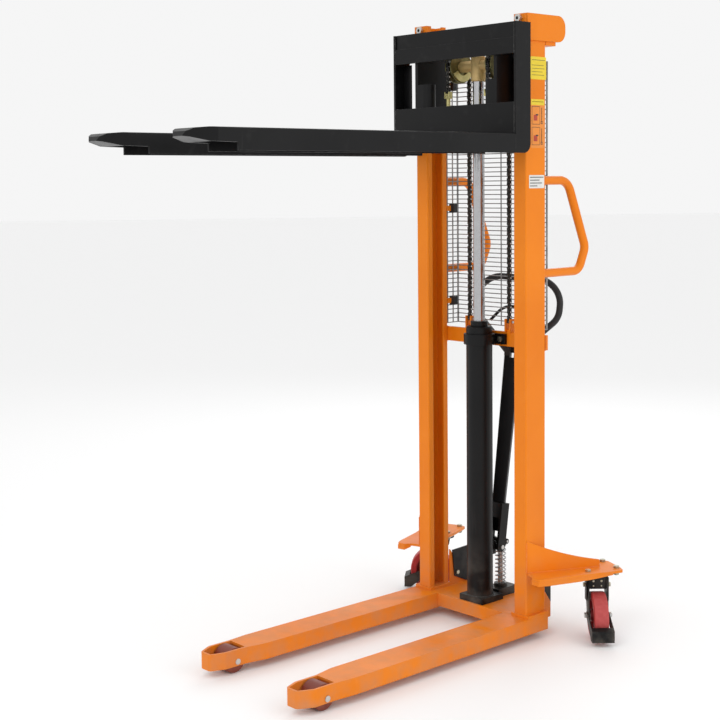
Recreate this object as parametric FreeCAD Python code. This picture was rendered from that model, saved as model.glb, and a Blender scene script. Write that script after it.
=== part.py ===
"""Manual walkie stacker: fixed mast on two straddled-over legs, hydraulic ram with a 2:1 chain hoist.

Frame: millimetres, +Z up, forks and legs towards -Y, operator's side towards +Y, floor at Z = 0.
While modelling, Y is measured from mast_axis_line; save() moves everything so that Y = 0 is the
middle of the overall length, from the fork tips to the push handles.
The rest position is the carriage fully raised.
"""

import FreeCAD
import Part
import math
import os

from FreeCAD import Rotation, Vector

# ---- driving dimensions: mast -------------------------------------------------------------------
MAST_HEIGHT = 1980.0        # top of the channels
MAST_HALF_WIDTH = 240.0     # outer face of each channel
CHANNEL_WIDTH = 51.0        # along X
CHANNEL_DEPTH = 94.0        # along Y
CHANNEL_FRONT = -58.0
CHANNEL_WALL = 6.0
CHANNEL_LIP = 22.0
EAR_THICK = 6.0
EAR_HEIGHT = 82.0
EAR_REACH = 89.0            # behind the channels
TOP_BEAM_SIZE = 48.0
TOP_BEAM_DROP = 46.0        # top beam below the channel tops
MID_BEAM_BOTTOM = 927.0
MID_BEAM_HEIGHT = 48.0
MID_BEAM_THICK = 12.0

# ---- driving dimensions: base -------------------------------------------------------------------
LEG_INNER = 148.0
LEG_OUTER = 254.0
LEG_BOTTOM = 25.0
LEG_TOP = 75.0
LEG_WALL = 8.0
LEG_REAR = 33.0
LEG_DECK_END = -872.0       # the leg's top plate stops here, ahead is the open nose
LEG_TAPER_START = -806.0
LEG_NOSE_STRAIGHT = -950.0
LEG_TIP = -997.0
NOSE_TAPER = 13.0
FOOT_THICK = 9.0
BASE_FRONT = -63.0
BASE_REAR = 124.0
BASE_DEPTH = 44.0
BASE_WALL = 6.0
LOAD_ROLLER_RADIUS = 38.0
LOAD_ROLLER_WIDTH = 62.0
LOAD_ROLLER_Y = -905.0
LOAD_AXLE_RADIUS = 9.0

# ---- driving dimensions: outriggers and castors -------------------------------------------------
PLATE_BOTTOM = 214.0
PLATE_THICK = 8.0
WEB_THICK = 6.0
WEB_TOP = 326.0
WEB_TIP = 244.0
WEB_END = (349.0, 176.0)
CASTOR_X = 341.0
CASTOR_Y = 165.0
CASTOR_WHEEL_RADIUS = 75.0
CASTOR_WHEEL_WIDTH = 46.0
CASTOR_TRAIL = 42.0
CASTOR_SWIVEL = 48.6        # trailing side turned outwards from straight ahead, degrees
CASTOR_PATTERN = (81.0, 105.0)
CASTOR_PLATE_TURN = 20.0
CASTOR_BOLT_RADIUS = 5.0
CASTOR_CHEEK_GAP = 56.0

# ---- driving dimensions: ram and hoist ----------------------------------------------------------
RAM_Y = -12.0
BARREL_RADIUS = 43.0
BARREL_BORE = 36.0
BARREL_TOP = 993.0
GLAND_RADIUS = 28.5
GLAND_HEIGHT = 17.0
ROD_RADIUS = 19.0
ROD_TOP = 1787.0
LIFT_STROKE = 762.5         # of the ram; the carriage moves twice as far
HEAD_RADIUS = 24.0
HEAD_HEIGHT = 80.0
CHAIN_WHEEL_Z = 1838.0
CHAIN_WHEEL_X = 87.0
CHAIN_LINE_RADIUS = 50.0    # middle of the chain on its wheel
CHAIN_DEPTH = 11.0          # leaf chain plate, across
CHAIN_WIDTH = 14.0
WHEEL_FLANGE = 51.0
WHEEL_AXLE_RADIUS = 12.0
LUG_TOP = 1018.0
ANCHOR_TOP = 1757.0
PAD_HALF = 51.0
PAD_THICK = 20.0

# ---- driving dimensions: carriage and forks -----------------------------------------------------
CARRIAGE_FRONT = -135.0
CARRIAGE_TOP = 1948.0
CHEEK_THICK = 8.0
CHEEK_REAR = -67.0
FORK_OUTER = 267.0
FORK_INNER = 135.0
FORK_TOP = 1610.0
FORK_BOTTOM = 1551.0
FORK_SHEET = 6.0
FORK_REACH = 1337.0         # tips, ahead of the mast line
SKIRT_FRONT = -1196.0
NOSE_DEPTH = 38.0
NOSE_TIP_WIDTH = 74.0
BEAM_THICK = 12.0
UPPER_BEAM = (1853.0, 1902.0)
BEAM_SEAT = FORK_TOP - 1.0  # the lower beam lies on the forks' tongues just below their decks
LOWER_BEAM = (BEAM_SEAT, 1706.0)
BRACKET_INNER = 166.0
BRACKET_THICK = 12.0
BRACKET_BOTTOM = 1628.0
BRACKET_TOP = 1938.0
GUIDE_ROLLER_RADIUS = 40.0
GUIDE_ROLLER_WIDTH = 30.0
GUIDE_ROLLER_Z = (1682.0, 1886.0)
GUIDE_AXLE_RADIUS = 12.0
BRACE_RADIUS = 24.0

# ---- driving dimensions: pump and tiller --------------------------------------------------------
PUMP_Y = 90.0
PUMP_BLOCK_TOP = 102.0
PUMP_BOSS_HEIGHT = 10.0
PLUNGER_RADIUS = 9.0
PLUNGER_TOP = 248.6
CAP_THICK = 8.0
PUMP_STROKE = 31.9
SPRING_RADIUS = 19.0
SPRING_WIRE = 4.0
PIVOT_Y = 62.0
PIVOT_Z = 245.0
PIVOT_RADIUS = 7.0
PRESS_ROLLER = (90.0, 259.0)
PRESS_ROLLER_RADIUS = 10.0
TILLER_LEAN = 8.2
TILLER_TWIST = 25.0
YOKE_HALF = 30.0
YOKE_CHEEK = 9.0
YOKE_TOP = 146.0
SPIGOT_RADIUS = 11.0
TILLER_WIDTH = (43.0, 54.0)
TILLER_DEPTH = 23.0
TILLER_TOP = 640.0
GRIP_RADIUS = 11.0
GRIP_HALF = 145.0
GRIP_TOP = 905.0
LEVER_PIVOT = 668.0
LEVER_BOW = 806.0

# ---- driving dimensions: push handles and guard -------------------------------------------------
HANDLE_REACH = 276.0
HANDLE_TUBE = 14.0
HANDLE_X = 215.0
HANDLE_Z = (1171.0, 1466.0)
GUARD_HALF = 197.5
GUARD_Y = 96.5
GUARD_BOTTOM = 985.0
GUARD_TOP = 1850.0
GUARD_FRONT = 42.0
GUARD_WIRE = 3.0            # square wire
GUARD_PITCH = 15.0
TAB_HEIGHTS = (1062.0, 1376.0, 1786.0)

# ---- clearances ---------------------------------------------------------------------------------
RUN = 0.05                  # radial, shaft in its hole
SIDE = 1.0                  # beside a wheel or roller
NEAR = 0.3                  # between faces that only pass each other

# ---- worked out from the above ------------------------------------------------------------------
CHANNEL_REAR = CHANNEL_FRONT + CHANNEL_DEPTH
CHANNEL_MID = (CHANNEL_FRONT + CHANNEL_REAR) / 2
CHANNEL_INNER = MAST_HALF_WIDTH - CHANNEL_WIDTH
FOOT_TOP = LEG_TOP + FOOT_THICK
LEG_MID = (LEG_INNER + LEG_OUTER) / 2
PLATE_TOP = PLATE_BOTTOM + PLATE_THICK
MID_BEAM_TOP = MID_BEAM_BOTTOM + MID_BEAM_HEIGHT
PAD_TOP = LEG_TOP + PAD_THICK
REAR_STRAND_Y = RAM_Y + CHAIN_LINE_RADIUS
FRONT_STRAND_Y = RAM_Y - CHAIN_LINE_RADIUS
BEAM_BACK = CARRIAGE_FRONT + BEAM_THICK
CHEEK_INNER = FORK_OUTER - CHEEK_THICK
MOVE_Y = (FORK_REACH - HANDLE_REACH) / 2
X_AXIS = Vector(1, 0, 0)
Y_AXIS = Vector(0, 1, 0)
Z_AXIS = Vector(0, 0, 1)
SIDES = (("left", -1), ("right", 1))


# ---- helpers ------------------------------------------------------------------------------------
def box(x, y, z):
    """Block between two limits along each axis."""
    return Part.makeBox(x[1] - x[0], y[1] - y[0], z[1] - z[0], Vector(x[0], y[0], z[0]))


def rod(radius, start, end):
    start = Vector(*start)
    run = Vector(*end) - start
    return Part.makeCylinder(radius, run.Length, start, run)


def ring(outer, inner, start, end):
    return rod(outer, start, end).cut(rod(inner, start, end))


def prism(points, normal, near, far):
    """Extrude a flat outline along X, Y or Z; points are given in the other two axes, in order."""
    places = {
        "x": lambda p, d: Vector(d, p[0], p[1]),
        "y": lambda p, d: Vector(p[0], d, p[1]),
        "z": lambda p, d: Vector(p[0], p[1], d),
    }
    corners = [places[normal](p, near) for p in points]
    face = Part.Face(Part.makePolygon(corners + corners[:1]))
    return face.extrude(places[normal]((0, 0), far - near))


def side(shape, sign):
    """The right-hand shape as drawn, or its mirror image for the left."""
    if sign > 0:
        return shape
    return shape.mirror(Vector(0, 0, 0), X_AXIS)


def turned(shape, angle, centre, axis=Z_AXIS):
    copy = shape.copy()
    copy.rotate(Vector(*centre), axis, angle)
    return copy


def path(points, radii):
    """Wire through straight runs, with a tangent arc of the given radius at each inner point."""
    spots = [Vector(*p) for p in points]
    edges = []
    last = spots[0]
    for before, corner, after, radius in zip(spots, spots[1:], spots[2:], radii):
        back = (before - corner).normalize()
        ahead = (after - corner).normalize()
        half = back.getAngle(ahead) / 2
        reach = radius / math.tan(half)
        middle = (back + ahead).normalize()
        start = corner + back * reach
        end = corner + ahead * reach
        crown = corner + middle * (radius / math.sin(half) - radius)
        edges.append(Part.LineSegment(last, start).toShape())
        edges.append(Part.Arc(start, crown, end).toShape())
        last = end
    edges.append(Part.LineSegment(last, spots[-1]).toShape())
    return Part.Wire(edges)


def tube(points, radii, radius):
    """Round bar swept along a path."""
    wire = path(points, radii)
    start = Vector(*points[0])
    heading = Vector(*points[1]) - start
    disc = Part.Wire([Part.makeCircle(radius, start, heading)])
    return wire.makePipeShell([disc], True, False)


def hexagon(flats, start, end):
    """Hexagonal bar between two points, as a bolt head or nut."""
    start = Vector(*start)
    run = Vector(*end) - start
    reach = flats / math.sqrt(3)
    corners = []
    for step in range(7):
        angle = math.radians(60 * step)
        corners.append(Vector(reach * math.cos(angle), reach * math.sin(angle), 0))
    bar = Part.Face(Part.makePolygon(corners)).extrude(Vector(0, 0, run.Length))
    bar.Placement = FreeCAD.Placement(start, Rotation(Z_AXIS, run))
    return bar


def bolt(radius, head, under_head, tip, flats):
    """Hex bolt: head stands out from under_head, shank runs to tip."""
    seat = Vector(*under_head)
    out = (seat - Vector(*tip)).normalize()
    top = seat + out * head
    return rod(radius, under_head, tip).fuse(hexagon(flats, under_head, tuple(top)))


def save(name, *shapes):
    """Write one sub-part, as one solid or a group of separate ones, at its place in the frame."""
    solids = []
    for shape in shapes:
        solids.extend(shape.removeSplitter().Solids)
    group = solids[0] if len(solids) == 1 else Part.makeCompound(solids)
    group = group.copy()
    group.translate(Vector(0, MOVE_Y, 0))
    group.exportStep("parts/" + name + ".step")


# ---- mast ---------------------------------------------------------------------------------------
def mast_channel():
    outer = MAST_HALF_WIDTH
    inner = CHANNEL_INNER
    front = CHANNEL_FRONT
    rear = CHANNEL_REAR
    wall = CHANNEL_WALL
    outline = [
        (inner, front),
        (outer, front),
        (outer, rear),
        (inner, rear),
        (inner, rear - CHANNEL_LIP),
        (inner + wall, rear - CHANNEL_LIP),
        (inner + wall, rear - wall),
        (outer - wall, rear - wall),
        (outer - wall, front + wall),
        (inner + wall, front + wall),
        (inner + wall, front + CHANNEL_LIP),
        (inner, front + CHANNEL_LIP),
    ]
    shape = prism(outline, "z", FOOT_TOP, MAST_HEIGHT)
    uprights = []
    for edge in shape.Edges:
        middle = edge.CenterOfMass
        if edge.Length < MAST_HEIGHT - FOOT_TOP - 1:
            continue
        on_side = abs(middle.x - inner) < 0.01 or abs(middle.x - outer) < 0.01
        on_face = abs(middle.y - front) < 0.01 or abs(middle.y - rear) < 0.01
        if on_side and on_face:
            uprights.append(edge)
    shape = shape.makeFillet(0.8 * wall, uprights)
    hole = rod(STOP_RADIUS + RUN, (STOP_X, front - 1, STOP_Z), (STOP_X, front + wall + 1, STOP_Z))
    shape = shape.cut(hole)
    lip, flange, web = (inner, inner + wall), (inner + wall, outer - wall), (outer - wall, outer)
    height = (FOOT_TOP, MAST_HEIGHT)
    walls = [
        box(web, (front, rear), height),
        box(flange, (front, front + wall), height),
        box(flange, (rear - wall, rear), height),
        box(lip, (front, front + CHANNEL_LIP), height),
        box(lip, (rear - CHANNEL_LIP, rear), height),
    ]
    return [shape.common(wall) for wall in walls]


STOP_RADIUS = 8.0
STOP_X = MAST_HALF_WIDTH - CHANNEL_WIDTH / 2
STOP_Z = MAST_HEIGHT - 14.0


def ear_plate():
    """Side plate at the mast's head, with a rounded end behind the channel."""
    top = MAST_HEIGHT
    bottom = top - EAR_HEIGHT
    rear = CHANNEL_REAR + EAR_REACH
    shape = box((MAST_HALF_WIDTH, MAST_HALF_WIDTH + EAR_THICK), (CHANNEL_FRONT + 2, rear), (bottom, top))
    ends = []
    for edge in shape.Edges:
        middle = edge.CenterOfMass
        if abs(middle.y - rear) < 0.01 and abs(edge.Length - EAR_THICK) < 0.01:
            ends.append(edge)
    return shape.makeFillet(0.42 * EAR_HEIGHT, ends)


def top_crossbeam():
    """Square tube across the backs of the channels, welded to the two head plates."""
    rear = CHANNEL_REAR
    top = MAST_HEIGHT - TOP_BEAM_DROP
    size = TOP_BEAM_SIZE
    outer = box((-MAST_HALF_WIDTH, MAST_HALF_WIDTH), (rear, rear + size), (top - size, top))
    wall = CHANNEL_WALL
    bore = box(
        (-MAST_HALF_WIDTH + wall, MAST_HALF_WIDTH - wall),
        (rear + wall, rear + size - wall),
        (top - size + wall, top - wall),
    )
    shape = outer.cut(bore)
    for _, sign in SIDES:
        shape = shape.fuse(side(ear_plate(), sign))
    return shape


def stop_bolts():
    front = CHANNEL_FRONT
    inside = front + CHANNEL_WALL
    made = []
    for _, sign in SIDES:
        x = sign * STOP_X
        made.append(bolt(STOP_RADIUS, 12, (x, front, STOP_Z), (x, inside + 14, STOP_Z), 22))
    return made


def mid_crossbeam():
    rear = CHANNEL_REAR
    half = MAST_HALF_WIDTH
    bar = box((-half, half), (rear, rear + MID_BEAM_THICK), (MID_BEAM_BOTTOM, MID_BEAM_TOP))
    for _, sign in SIDES:
        x = sign * CLAMP_BOLT_X
        z = MID_BEAM_BOTTOM + MID_BEAM_HEIGHT / 2
        bar = bar.cut(rod(CLAMP_BOLT_RADIUS + RUN, (x, rear - 1, z), (x, rear + MID_BEAM_THICK + 1, z)))
    return bar


CLAMP_BOLT_X = 61.0
CLAMP_BOLT_RADIUS = 5.0
CLAMP_EAR = 12.0
CLAMP_HALF = 78.0
CLAMP_HEIGHT = 34.0
CLAMP_RING = 8.0


def clamp_levels():
    middle = MID_BEAM_BOTTOM + MID_BEAM_HEIGHT / 2
    return (middle - CLAMP_HEIGHT / 2, middle + CLAMP_HEIGHT / 2)


def cylinder_clamp():
    """Ring round the barrel, with ears bolted to the front of the middle crossbeam."""
    low, high = clamp_levels()
    ring_out = rod(BARREL_RADIUS + CLAMP_RING, (0, RAM_Y, low), (0, RAM_Y, high))
    ears = box((-CLAMP_HALF, CLAMP_HALF), (CHANNEL_REAR - CLAMP_EAR, CHANNEL_REAR), (low, high))
    shape = ring_out.fuse(ears)
    shape = shape.cut(box((-CLAMP_HALF, CLAMP_HALF), (CHANNEL_REAR, CHANNEL_REAR + 50), (low - 1, high + 1)))
    shape = shape.cut(rod(BARREL_RADIUS + RUN, (0, RAM_Y, low - 1), (0, RAM_Y, high + 1)))
    z = (low + high) / 2
    for _, sign in SIDES:
        x = sign * CLAMP_BOLT_X
        shape = shape.cut(rod(CLAMP_BOLT_RADIUS + RUN, (x, 0, z), (x, CHANNEL_REAR + 1, z)))
    return shape


def clamp_bolts():
    z = MID_BEAM_BOTTOM + MID_BEAM_HEIGHT / 2
    made = []
    for _, sign in SIDES:
        x = sign * CLAMP_BOLT_X
        head = CHANNEL_REAR - CLAMP_EAR
        back = CHANNEL_REAR + MID_BEAM_THICK
        made.append(bolt(CLAMP_BOLT_RADIUS, 7, (x, head, z), (x, back + 10, z), 16))
        nut = hexagon(16, (x, back, z), (x, back + 8, z))
        made.append(nut.cut(rod(CLAMP_BOLT_RADIUS, (x, back - 1, z), (x, back + 11, z))))
    return made


def chain_lug():
    """Clevis on the middle crossbeam that holds one chain's rear end."""
    gap = CHAIN_WIDTH / 2 + SIDE
    plates = []
    for sign in (-1, 1):
        inner = CHAIN_WHEEL_X + sign * gap
        outer = CHAIN_WHEEL_X + sign * (gap + 5)
        limits = (min(inner, outer), max(inner, outer))
        plates.append(box(limits, (CHANNEL_REAR - 8, CHANNEL_REAR + MID_BEAM_THICK), (MID_BEAM_TOP, LUG_TOP)))
    foot = box(
        (CHAIN_WHEEL_X - gap, CHAIN_WHEEL_X + gap),
        (CHANNEL_REAR, CHANNEL_REAR + MID_BEAM_THICK),
        (MID_BEAM_TOP, MID_BEAM_TOP + 8),
    )
    shape = plates[0].fuse(plates[1]).fuse(foot)
    return shape.cut(rod(CHAIN_PIN_RADIUS, *chain_pin_ends()))


CHAIN_PIN_RADIUS = 4.0


def chain_pin_ends():
    z = LUG_TOP - 10
    reach = CHAIN_WIDTH / 2 + SIDE + 8
    return ((CHAIN_WHEEL_X - reach, REAR_STRAND_Y, z), (CHAIN_WHEEL_X + reach, REAR_STRAND_Y, z))


# ---- base ---------------------------------------------------------------------------------------
def leg():
    """Box leg, open below and at the nose, where a bent bar closes the tip round the load roller."""
    taper = NOSE_TAPER
    outline = [
        (LEG_INNER, LEG_REAR),
        (LEG_OUTER, LEG_REAR),
        (LEG_OUTER, LEG_TAPER_START),
        (LEG_OUTER - taper / 2, LEG_DECK_END),
        (LEG_OUTER - taper / 2, LEG_NOSE_STRAIGHT),
        (LEG_MID + 22, LEG_TIP),
        (LEG_MID - 22, LEG_TIP),
        (LEG_INNER + taper, LEG_NOSE_STRAIGHT),
        (LEG_INNER + taper, LEG_DECK_END),
        (LEG_INNER, LEG_TAPER_START),
    ]
    wall = LEG_WALL
    hollow = [
        (LEG_INNER + wall, LEG_REAR - wall),
        (LEG_OUTER - wall, LEG_REAR - wall),
        (LEG_OUTER - wall, LEG_TAPER_START),
        (LEG_OUTER - wall - taper / 2, LEG_DECK_END),
        (LEG_OUTER - wall - taper / 2, LEG_NOSE_STRAIGHT + 3),
        (LEG_MID + 18, LEG_TIP + wall),
        (LEG_MID - 18, LEG_TIP + wall),
        (LEG_INNER + wall + taper, LEG_NOSE_STRAIGHT + 3),
        (LEG_INNER + wall + taper, LEG_DECK_END),
        (LEG_INNER + wall, LEG_TAPER_START),
    ]
    shape = prism(outline, "z", LEG_BOTTOM, LEG_TOP)
    tips = []
    for edge in shape.Edges:
        middle = edge.CenterOfMass
        upright = abs(edge.Length - (LEG_TOP - LEG_BOTTOM)) < 0.01
        if upright and middle.y < LEG_NOSE_STRAIGHT + 1:
            tips.append(edge)
    shape = shape.makeFillet(14, tips)
    shape = shape.cut(prism(hollow, "z", LEG_BOTTOM - 1, LEG_TOP - wall))
    nose = box((LEG_INNER, LEG_OUTER), (LEG_TIP - 1, LEG_DECK_END), (LEG_TOP - wall - 1, LEG_TOP + 1))
    shape = shape.cut(nose.common(prism(hollow, "z", LEG_TOP - wall - 1, LEG_TOP + 1)))
    z = LOAD_ROLLER_RADIUS
    return shape.cut(
        rod(LOAD_AXLE_RADIUS, (LEG_INNER - 5, LOAD_ROLLER_Y, z), (LEG_OUTER + 5, LOAD_ROLLER_Y, z))
    )


def leg_sides_at_roller():
    return (LEG_INNER + NOSE_TAPER, LEG_OUTER - NOSE_TAPER / 2)


def load_axle():
    low, high = leg_sides_at_roller()
    z = LOAD_ROLLER_RADIUS
    shaft = rod(LOAD_AXLE_RADIUS, (low - 1.5, LOAD_ROLLER_Y, z), (high + 2.5, LOAD_ROLLER_Y, z))
    return shaft


def load_roller():
    low, high = leg_sides_at_roller()
    middle = (low + high) / 2
    half = LOAD_ROLLER_WIDTH / 2
    z = LOAD_ROLLER_RADIUS
    body = rod(LOAD_ROLLER_RADIUS, (middle - half, LOAD_ROLLER_Y, z), (middle + half, LOAD_ROLLER_Y, z))
    body = body.makeChamfer(3, [e for e in body.Edges if e.Closed])
    bore = rod(LOAD_AXLE_RADIUS + RUN, (middle - half - 1, LOAD_ROLLER_Y, z), (middle + half + 1, LOAD_ROLLER_Y, z))
    return body.cut(bore)


def roller_spacer():
    """Washers that keep the load roller in the middle of its slot."""
    low, high = leg_sides_at_roller()
    middle = (low + high) / 2
    half = LOAD_ROLLER_WIDTH / 2
    z = LOAD_ROLLER_RADIUS
    made = []
    for start, end in ((low + LEG_WALL, middle - half - NEAR), (middle + half + NEAR, high - LEG_WALL)):
        made.append(ring(15, LOAD_AXLE_RADIUS, (start, LOAD_ROLLER_Y, z), (end, LOAD_ROLLER_Y, z)))
    return made


def foot_plate():
    """Welded plate between the leg's rear end and the foot of the channel."""
    low = CHANNEL_INNER - 8
    return box((low, LEG_OUTER), (CHANNEL_FRONT - 4, LEG_REAR + 3), (LEG_TOP, FOOT_TOP))


def base_crossbeam():
    """Cross-member between the legs, with a wider deck behind them, open below."""
    low = LEG_TOP - BASE_DEPTH
    wide = CHANNEL_INNER
    back = LEG_REAR + NEAR
    outer = box((-LEG_INNER, LEG_INNER), (BASE_FRONT, back), (low, LEG_TOP))
    outer = outer.fuse(box((-wide, wide), (back, BASE_REAR), (low, LEG_TOP)))
    wall = BASE_WALL
    inner = box((-LEG_INNER + wall, LEG_INNER - wall), (BASE_FRONT + wall, back + wall), (low - 1, LEG_TOP - wall))
    inner = inner.fuse(box((-wide + wall, wide - wall), (back + wall, BASE_REAR - wall), (low - 1, LEG_TOP - wall)))
    return outer.cut(inner)


GUSSET_TOP = 200.0
GUSSET_THICK = 6.0
GUARD_PLATE_THICK = 4.0
GUARD_BOLT = (108.0, 112.0)


def gusset():
    """Triangular web between the back of the channel and the deck behind it."""
    x = (CHANNEL_INNER - GUSSET_THICK, CHANNEL_INNER)
    outline = [
        (CHANNEL_REAR, LEG_TOP),
        (BASE_REAR, LEG_TOP),
        (BASE_REAR, LEG_TOP + 6),
        (CHANNEL_REAR, GUSSET_TOP),
    ]
    shape = prism(outline, "x", x[0], x[1])
    deck = box((x[0] - 1, x[1] + 1), (CHANNEL_REAR - 1, CHANNEL_REAR), (0, 300))
    hole = rod(GUARD_BOLT_RADIUS, (x[0] - 9, *GUARD_BOLT_SEAT), (x[1] + 9, *GUARD_BOLT_SEAT))
    return shape.cut(deck).cut(hole)


GUARD_BOLT_RADIUS = 4.0
GUARD_BOLT_SEAT = (66.0, 116.0)


def foot_guard():
    """Black side plate bolted to the inner face of the gusset."""
    x = CHANNEL_INNER - GUSSET_THICK
    outline = [
        (CHANNEL_REAR + 8, GUSSET_TOP - 3),
        (BASE_REAR + 8, GUSSET_TOP + 1),
        (BASE_REAR + 8, LEG_TOP + 3),
        (BASE_REAR - 13, LEG_TOP + 3),
        (GUARD_BOLT_SEAT[0] - 12, GUARD_BOLT_SEAT[1] - 12),
    ]
    shape = prism(outline, "x", x - GUARD_PLATE_THICK, x)
    hole = rod(GUARD_BOLT_RADIUS, (x - 9, *GUARD_BOLT_SEAT), (x + 9, *GUARD_BOLT_SEAT))
    return shape.cut(hole)


def foot_guard_bolt():
    head = CHANNEL_INNER - GUSSET_THICK - GUARD_PLATE_THICK
    tip = CHANNEL_INNER + 6
    return bolt(GUARD_BOLT_RADIUS, 5, (head, *GUARD_BOLT_SEAT), (tip, *GUARD_BOLT_SEAT), 13)


# ---- outriggers and castors ---------------------------------------------------------------------
def pattern_spots():
    """Centres of the four castor bolts, right-hand side."""
    spots = []
    turn = math.radians(-CASTOR_PLATE_TURN)
    for a, b in ((-1, -1), (1, -1), (1, 1), (-1, 1)):
        u = a * CASTOR_PATTERN[0] / 2
        v = b * CASTOR_PATTERN[1] / 2
        x = CASTOR_X + u * math.cos(turn) - v * math.sin(turn)
        y = CASTOR_Y + u * math.sin(turn) + v * math.cos(turn)
        spots.append((x, y))
    return spots


def outrigger_plate():
    """Horizontal arm from the channel's outer face to the castor, with a turned-down front edge."""
    outline = [
        (MAST_HALF_WIDTH, CHANNEL_FRONT + 6),
        (FORK_OUTER + 5, CHANNEL_FRONT - 4),
        (FORK_OUTER + 19, CHANNEL_FRONT - 26),
        (MAST_HALF_WIDTH + 76, CHANNEL_FRONT - 28),
        (CASTOR_X - 12, CASTOR_Y - 226),
        (CASTOR_X + 28, CASTOR_Y - 113),
        (CASTOR_X + 75, CASTOR_Y - 6),
        (CASTOR_X + 87, CASTOR_Y + 30),
        (CASTOR_X + 60, CASTOR_Y + 50),
        (CASTOR_X - 10, CASTOR_Y + 80),
        (CASTOR_X - 36, CASTOR_Y + 76),
        (CASTOR_X - 74, CASTOR_Y - 24),
        (MAST_HALF_WIDTH, CHANNEL_REAR - 2),
    ]
    shape = prism(outline, "z", PLATE_BOTTOM, PLATE_TOP)
    corners = []
    for edge in shape.Edges:
        middle = edge.CenterOfMass
        upright = abs(edge.Length - PLATE_THICK) < 0.01
        if upright and middle.x > MAST_HALF_WIDTH + 1:
            corners.append(edge)
    shape = shape.makeFillet(8, corners)
    front = outline[4:6]
    lip_points = [
        front[0],
        front[1],
        (front[1][0] - 7, front[1][1] + 3),
        (front[0][0] - 7, front[0][1] + 3),
    ]
    lip = prism(lip_points, "z", PLATE_BOTTOM - 14, PLATE_BOTTOM)
    shape = shape.fuse(lip)
    for x, y in pattern_spots():
        shape = shape.cut(rod(CASTOR_BOLT_RADIUS + 0.5, (x, y, PLATE_BOTTOM - 1), (x, y, PLATE_TOP + 1)))
    return shape


def outrigger_web():
    """Upright web on the plate, with a hollow curved top edge that runs up to the channel."""
    start = Vector(MAST_HALF_WIDTH, CHANNEL_FRONT + 2, 0)
    end = Vector(WEB_END[0], WEB_END[1], 0)
    length = (end - start).Length
    low = PLATE_TOP
    tip = WEB_TIP - low
    rise = WEB_TOP - low
    base = Part.LineSegment(Vector(0, 0, 0), Vector(length, 0, 0)).toShape()
    nose = Part.LineSegment(Vector(length, 0, 0), Vector(length, 0, tip)).toShape()
    hollow = Part.Arc(Vector(length, 0, tip), Vector(0.5 * length, 0, 0.5 * rise + 2), Vector(0, 0, rise)).toShape()
    back = Part.LineSegment(Vector(0, 0, rise), Vector(0, 0, 0)).toShape()
    face = Part.Face(Part.Wire([base, nose, hollow, back]))
    shape = face.extrude(Vector(0, WEB_THICK, 0))
    angle = math.degrees(math.atan2(end.y - start.y, end.x - start.x))
    shape.rotate(Vector(0, 0, 0), Z_AXIS, angle)
    shape.translate(Vector(start.x, start.y, low))
    return shape.cut(box((0, MAST_HALF_WIDTH), (-200, 300), (0, 400)))


def castor_bolts():
    made = []
    low = PLATE_BOTTOM - CASTOR_TOP_THICK
    for _, sign in SIDES:
        for x, y in pattern_spots():
            shank = bolt(CASTOR_BOLT_RADIUS, 7, (x, y, PLATE_TOP), (x, y, low - 9), 17)
            nut = hexagon(17, (x, y, low - 7), (x, y, low))
            nut = nut.cut(rod(CASTOR_BOLT_RADIUS, (x, y, low - 12), (x, y, low + 1)))
            made.append(side(shank, sign))
            made.append(side(nut, sign))
    return made


CASTOR_TOP_THICK = 6.0
RACE_HEIGHT = 9.0
RACE_RADIUS = 36.0
CROWN_THICK = 6.0
CASTOR_AXLE_RADIUS = 6.0
KINGPIN_RADIUS = 9.0


def castor_plate():
    """Top plate of the castor with the fixed half of its ball race and the kingpin."""
    top = PLATE_BOTTOM
    low = top - CASTOR_TOP_THICK
    wide = CASTOR_PATTERN[0] / 2 + 12
    long = CASTOR_PATTERN[1] / 2 + 12
    flat = box((CASTOR_X - wide, CASTOR_X + wide), (CASTOR_Y - long, CASTOR_Y + long), (low, top))
    flat = flat.makeFillet(10, [e for e in flat.Edges if abs(e.Length - CASTOR_TOP_THICK) < 0.01])
    flat = turned(flat, -CASTOR_PLATE_TURN, (CASTOR_X, CASTOR_Y, 0))
    centre = (CASTOR_X, CASTOR_Y)
    race = rod(RACE_RADIUS, (*centre, low - RACE_HEIGHT), (*centre, low))
    race = race.makeChamfer(2, [e for e in race.Edges if e.Closed and e.CenterOfMass.z < low - 1])
    bottom = low - RACE_HEIGHT - CROWN_THICK - 8
    pin = rod(KINGPIN_RADIUS, (*centre, bottom), (*centre, low))
    nut = hexagon(24, (*centre, bottom - 1), (*centre, bottom + 8 - NEAR))
    shape = flat.fuse(race).fuse(pin).fuse(nut)
    for x, y in pattern_spots():
        shape = shape.cut(rod(CASTOR_BOLT_RADIUS + 0.5, (x, y, low - 1), (x, y, top + 1)))
    return shape


def castor_local(shape, sign):
    """Place a shape drawn about the swivel axis with its trail towards -Y."""
    placed = turned(shape, CASTOR_SWIVEL, (0, 0, 0))
    placed.translate(Vector(CASTOR_X, CASTOR_Y, 0))
    return side(placed, sign)


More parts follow.
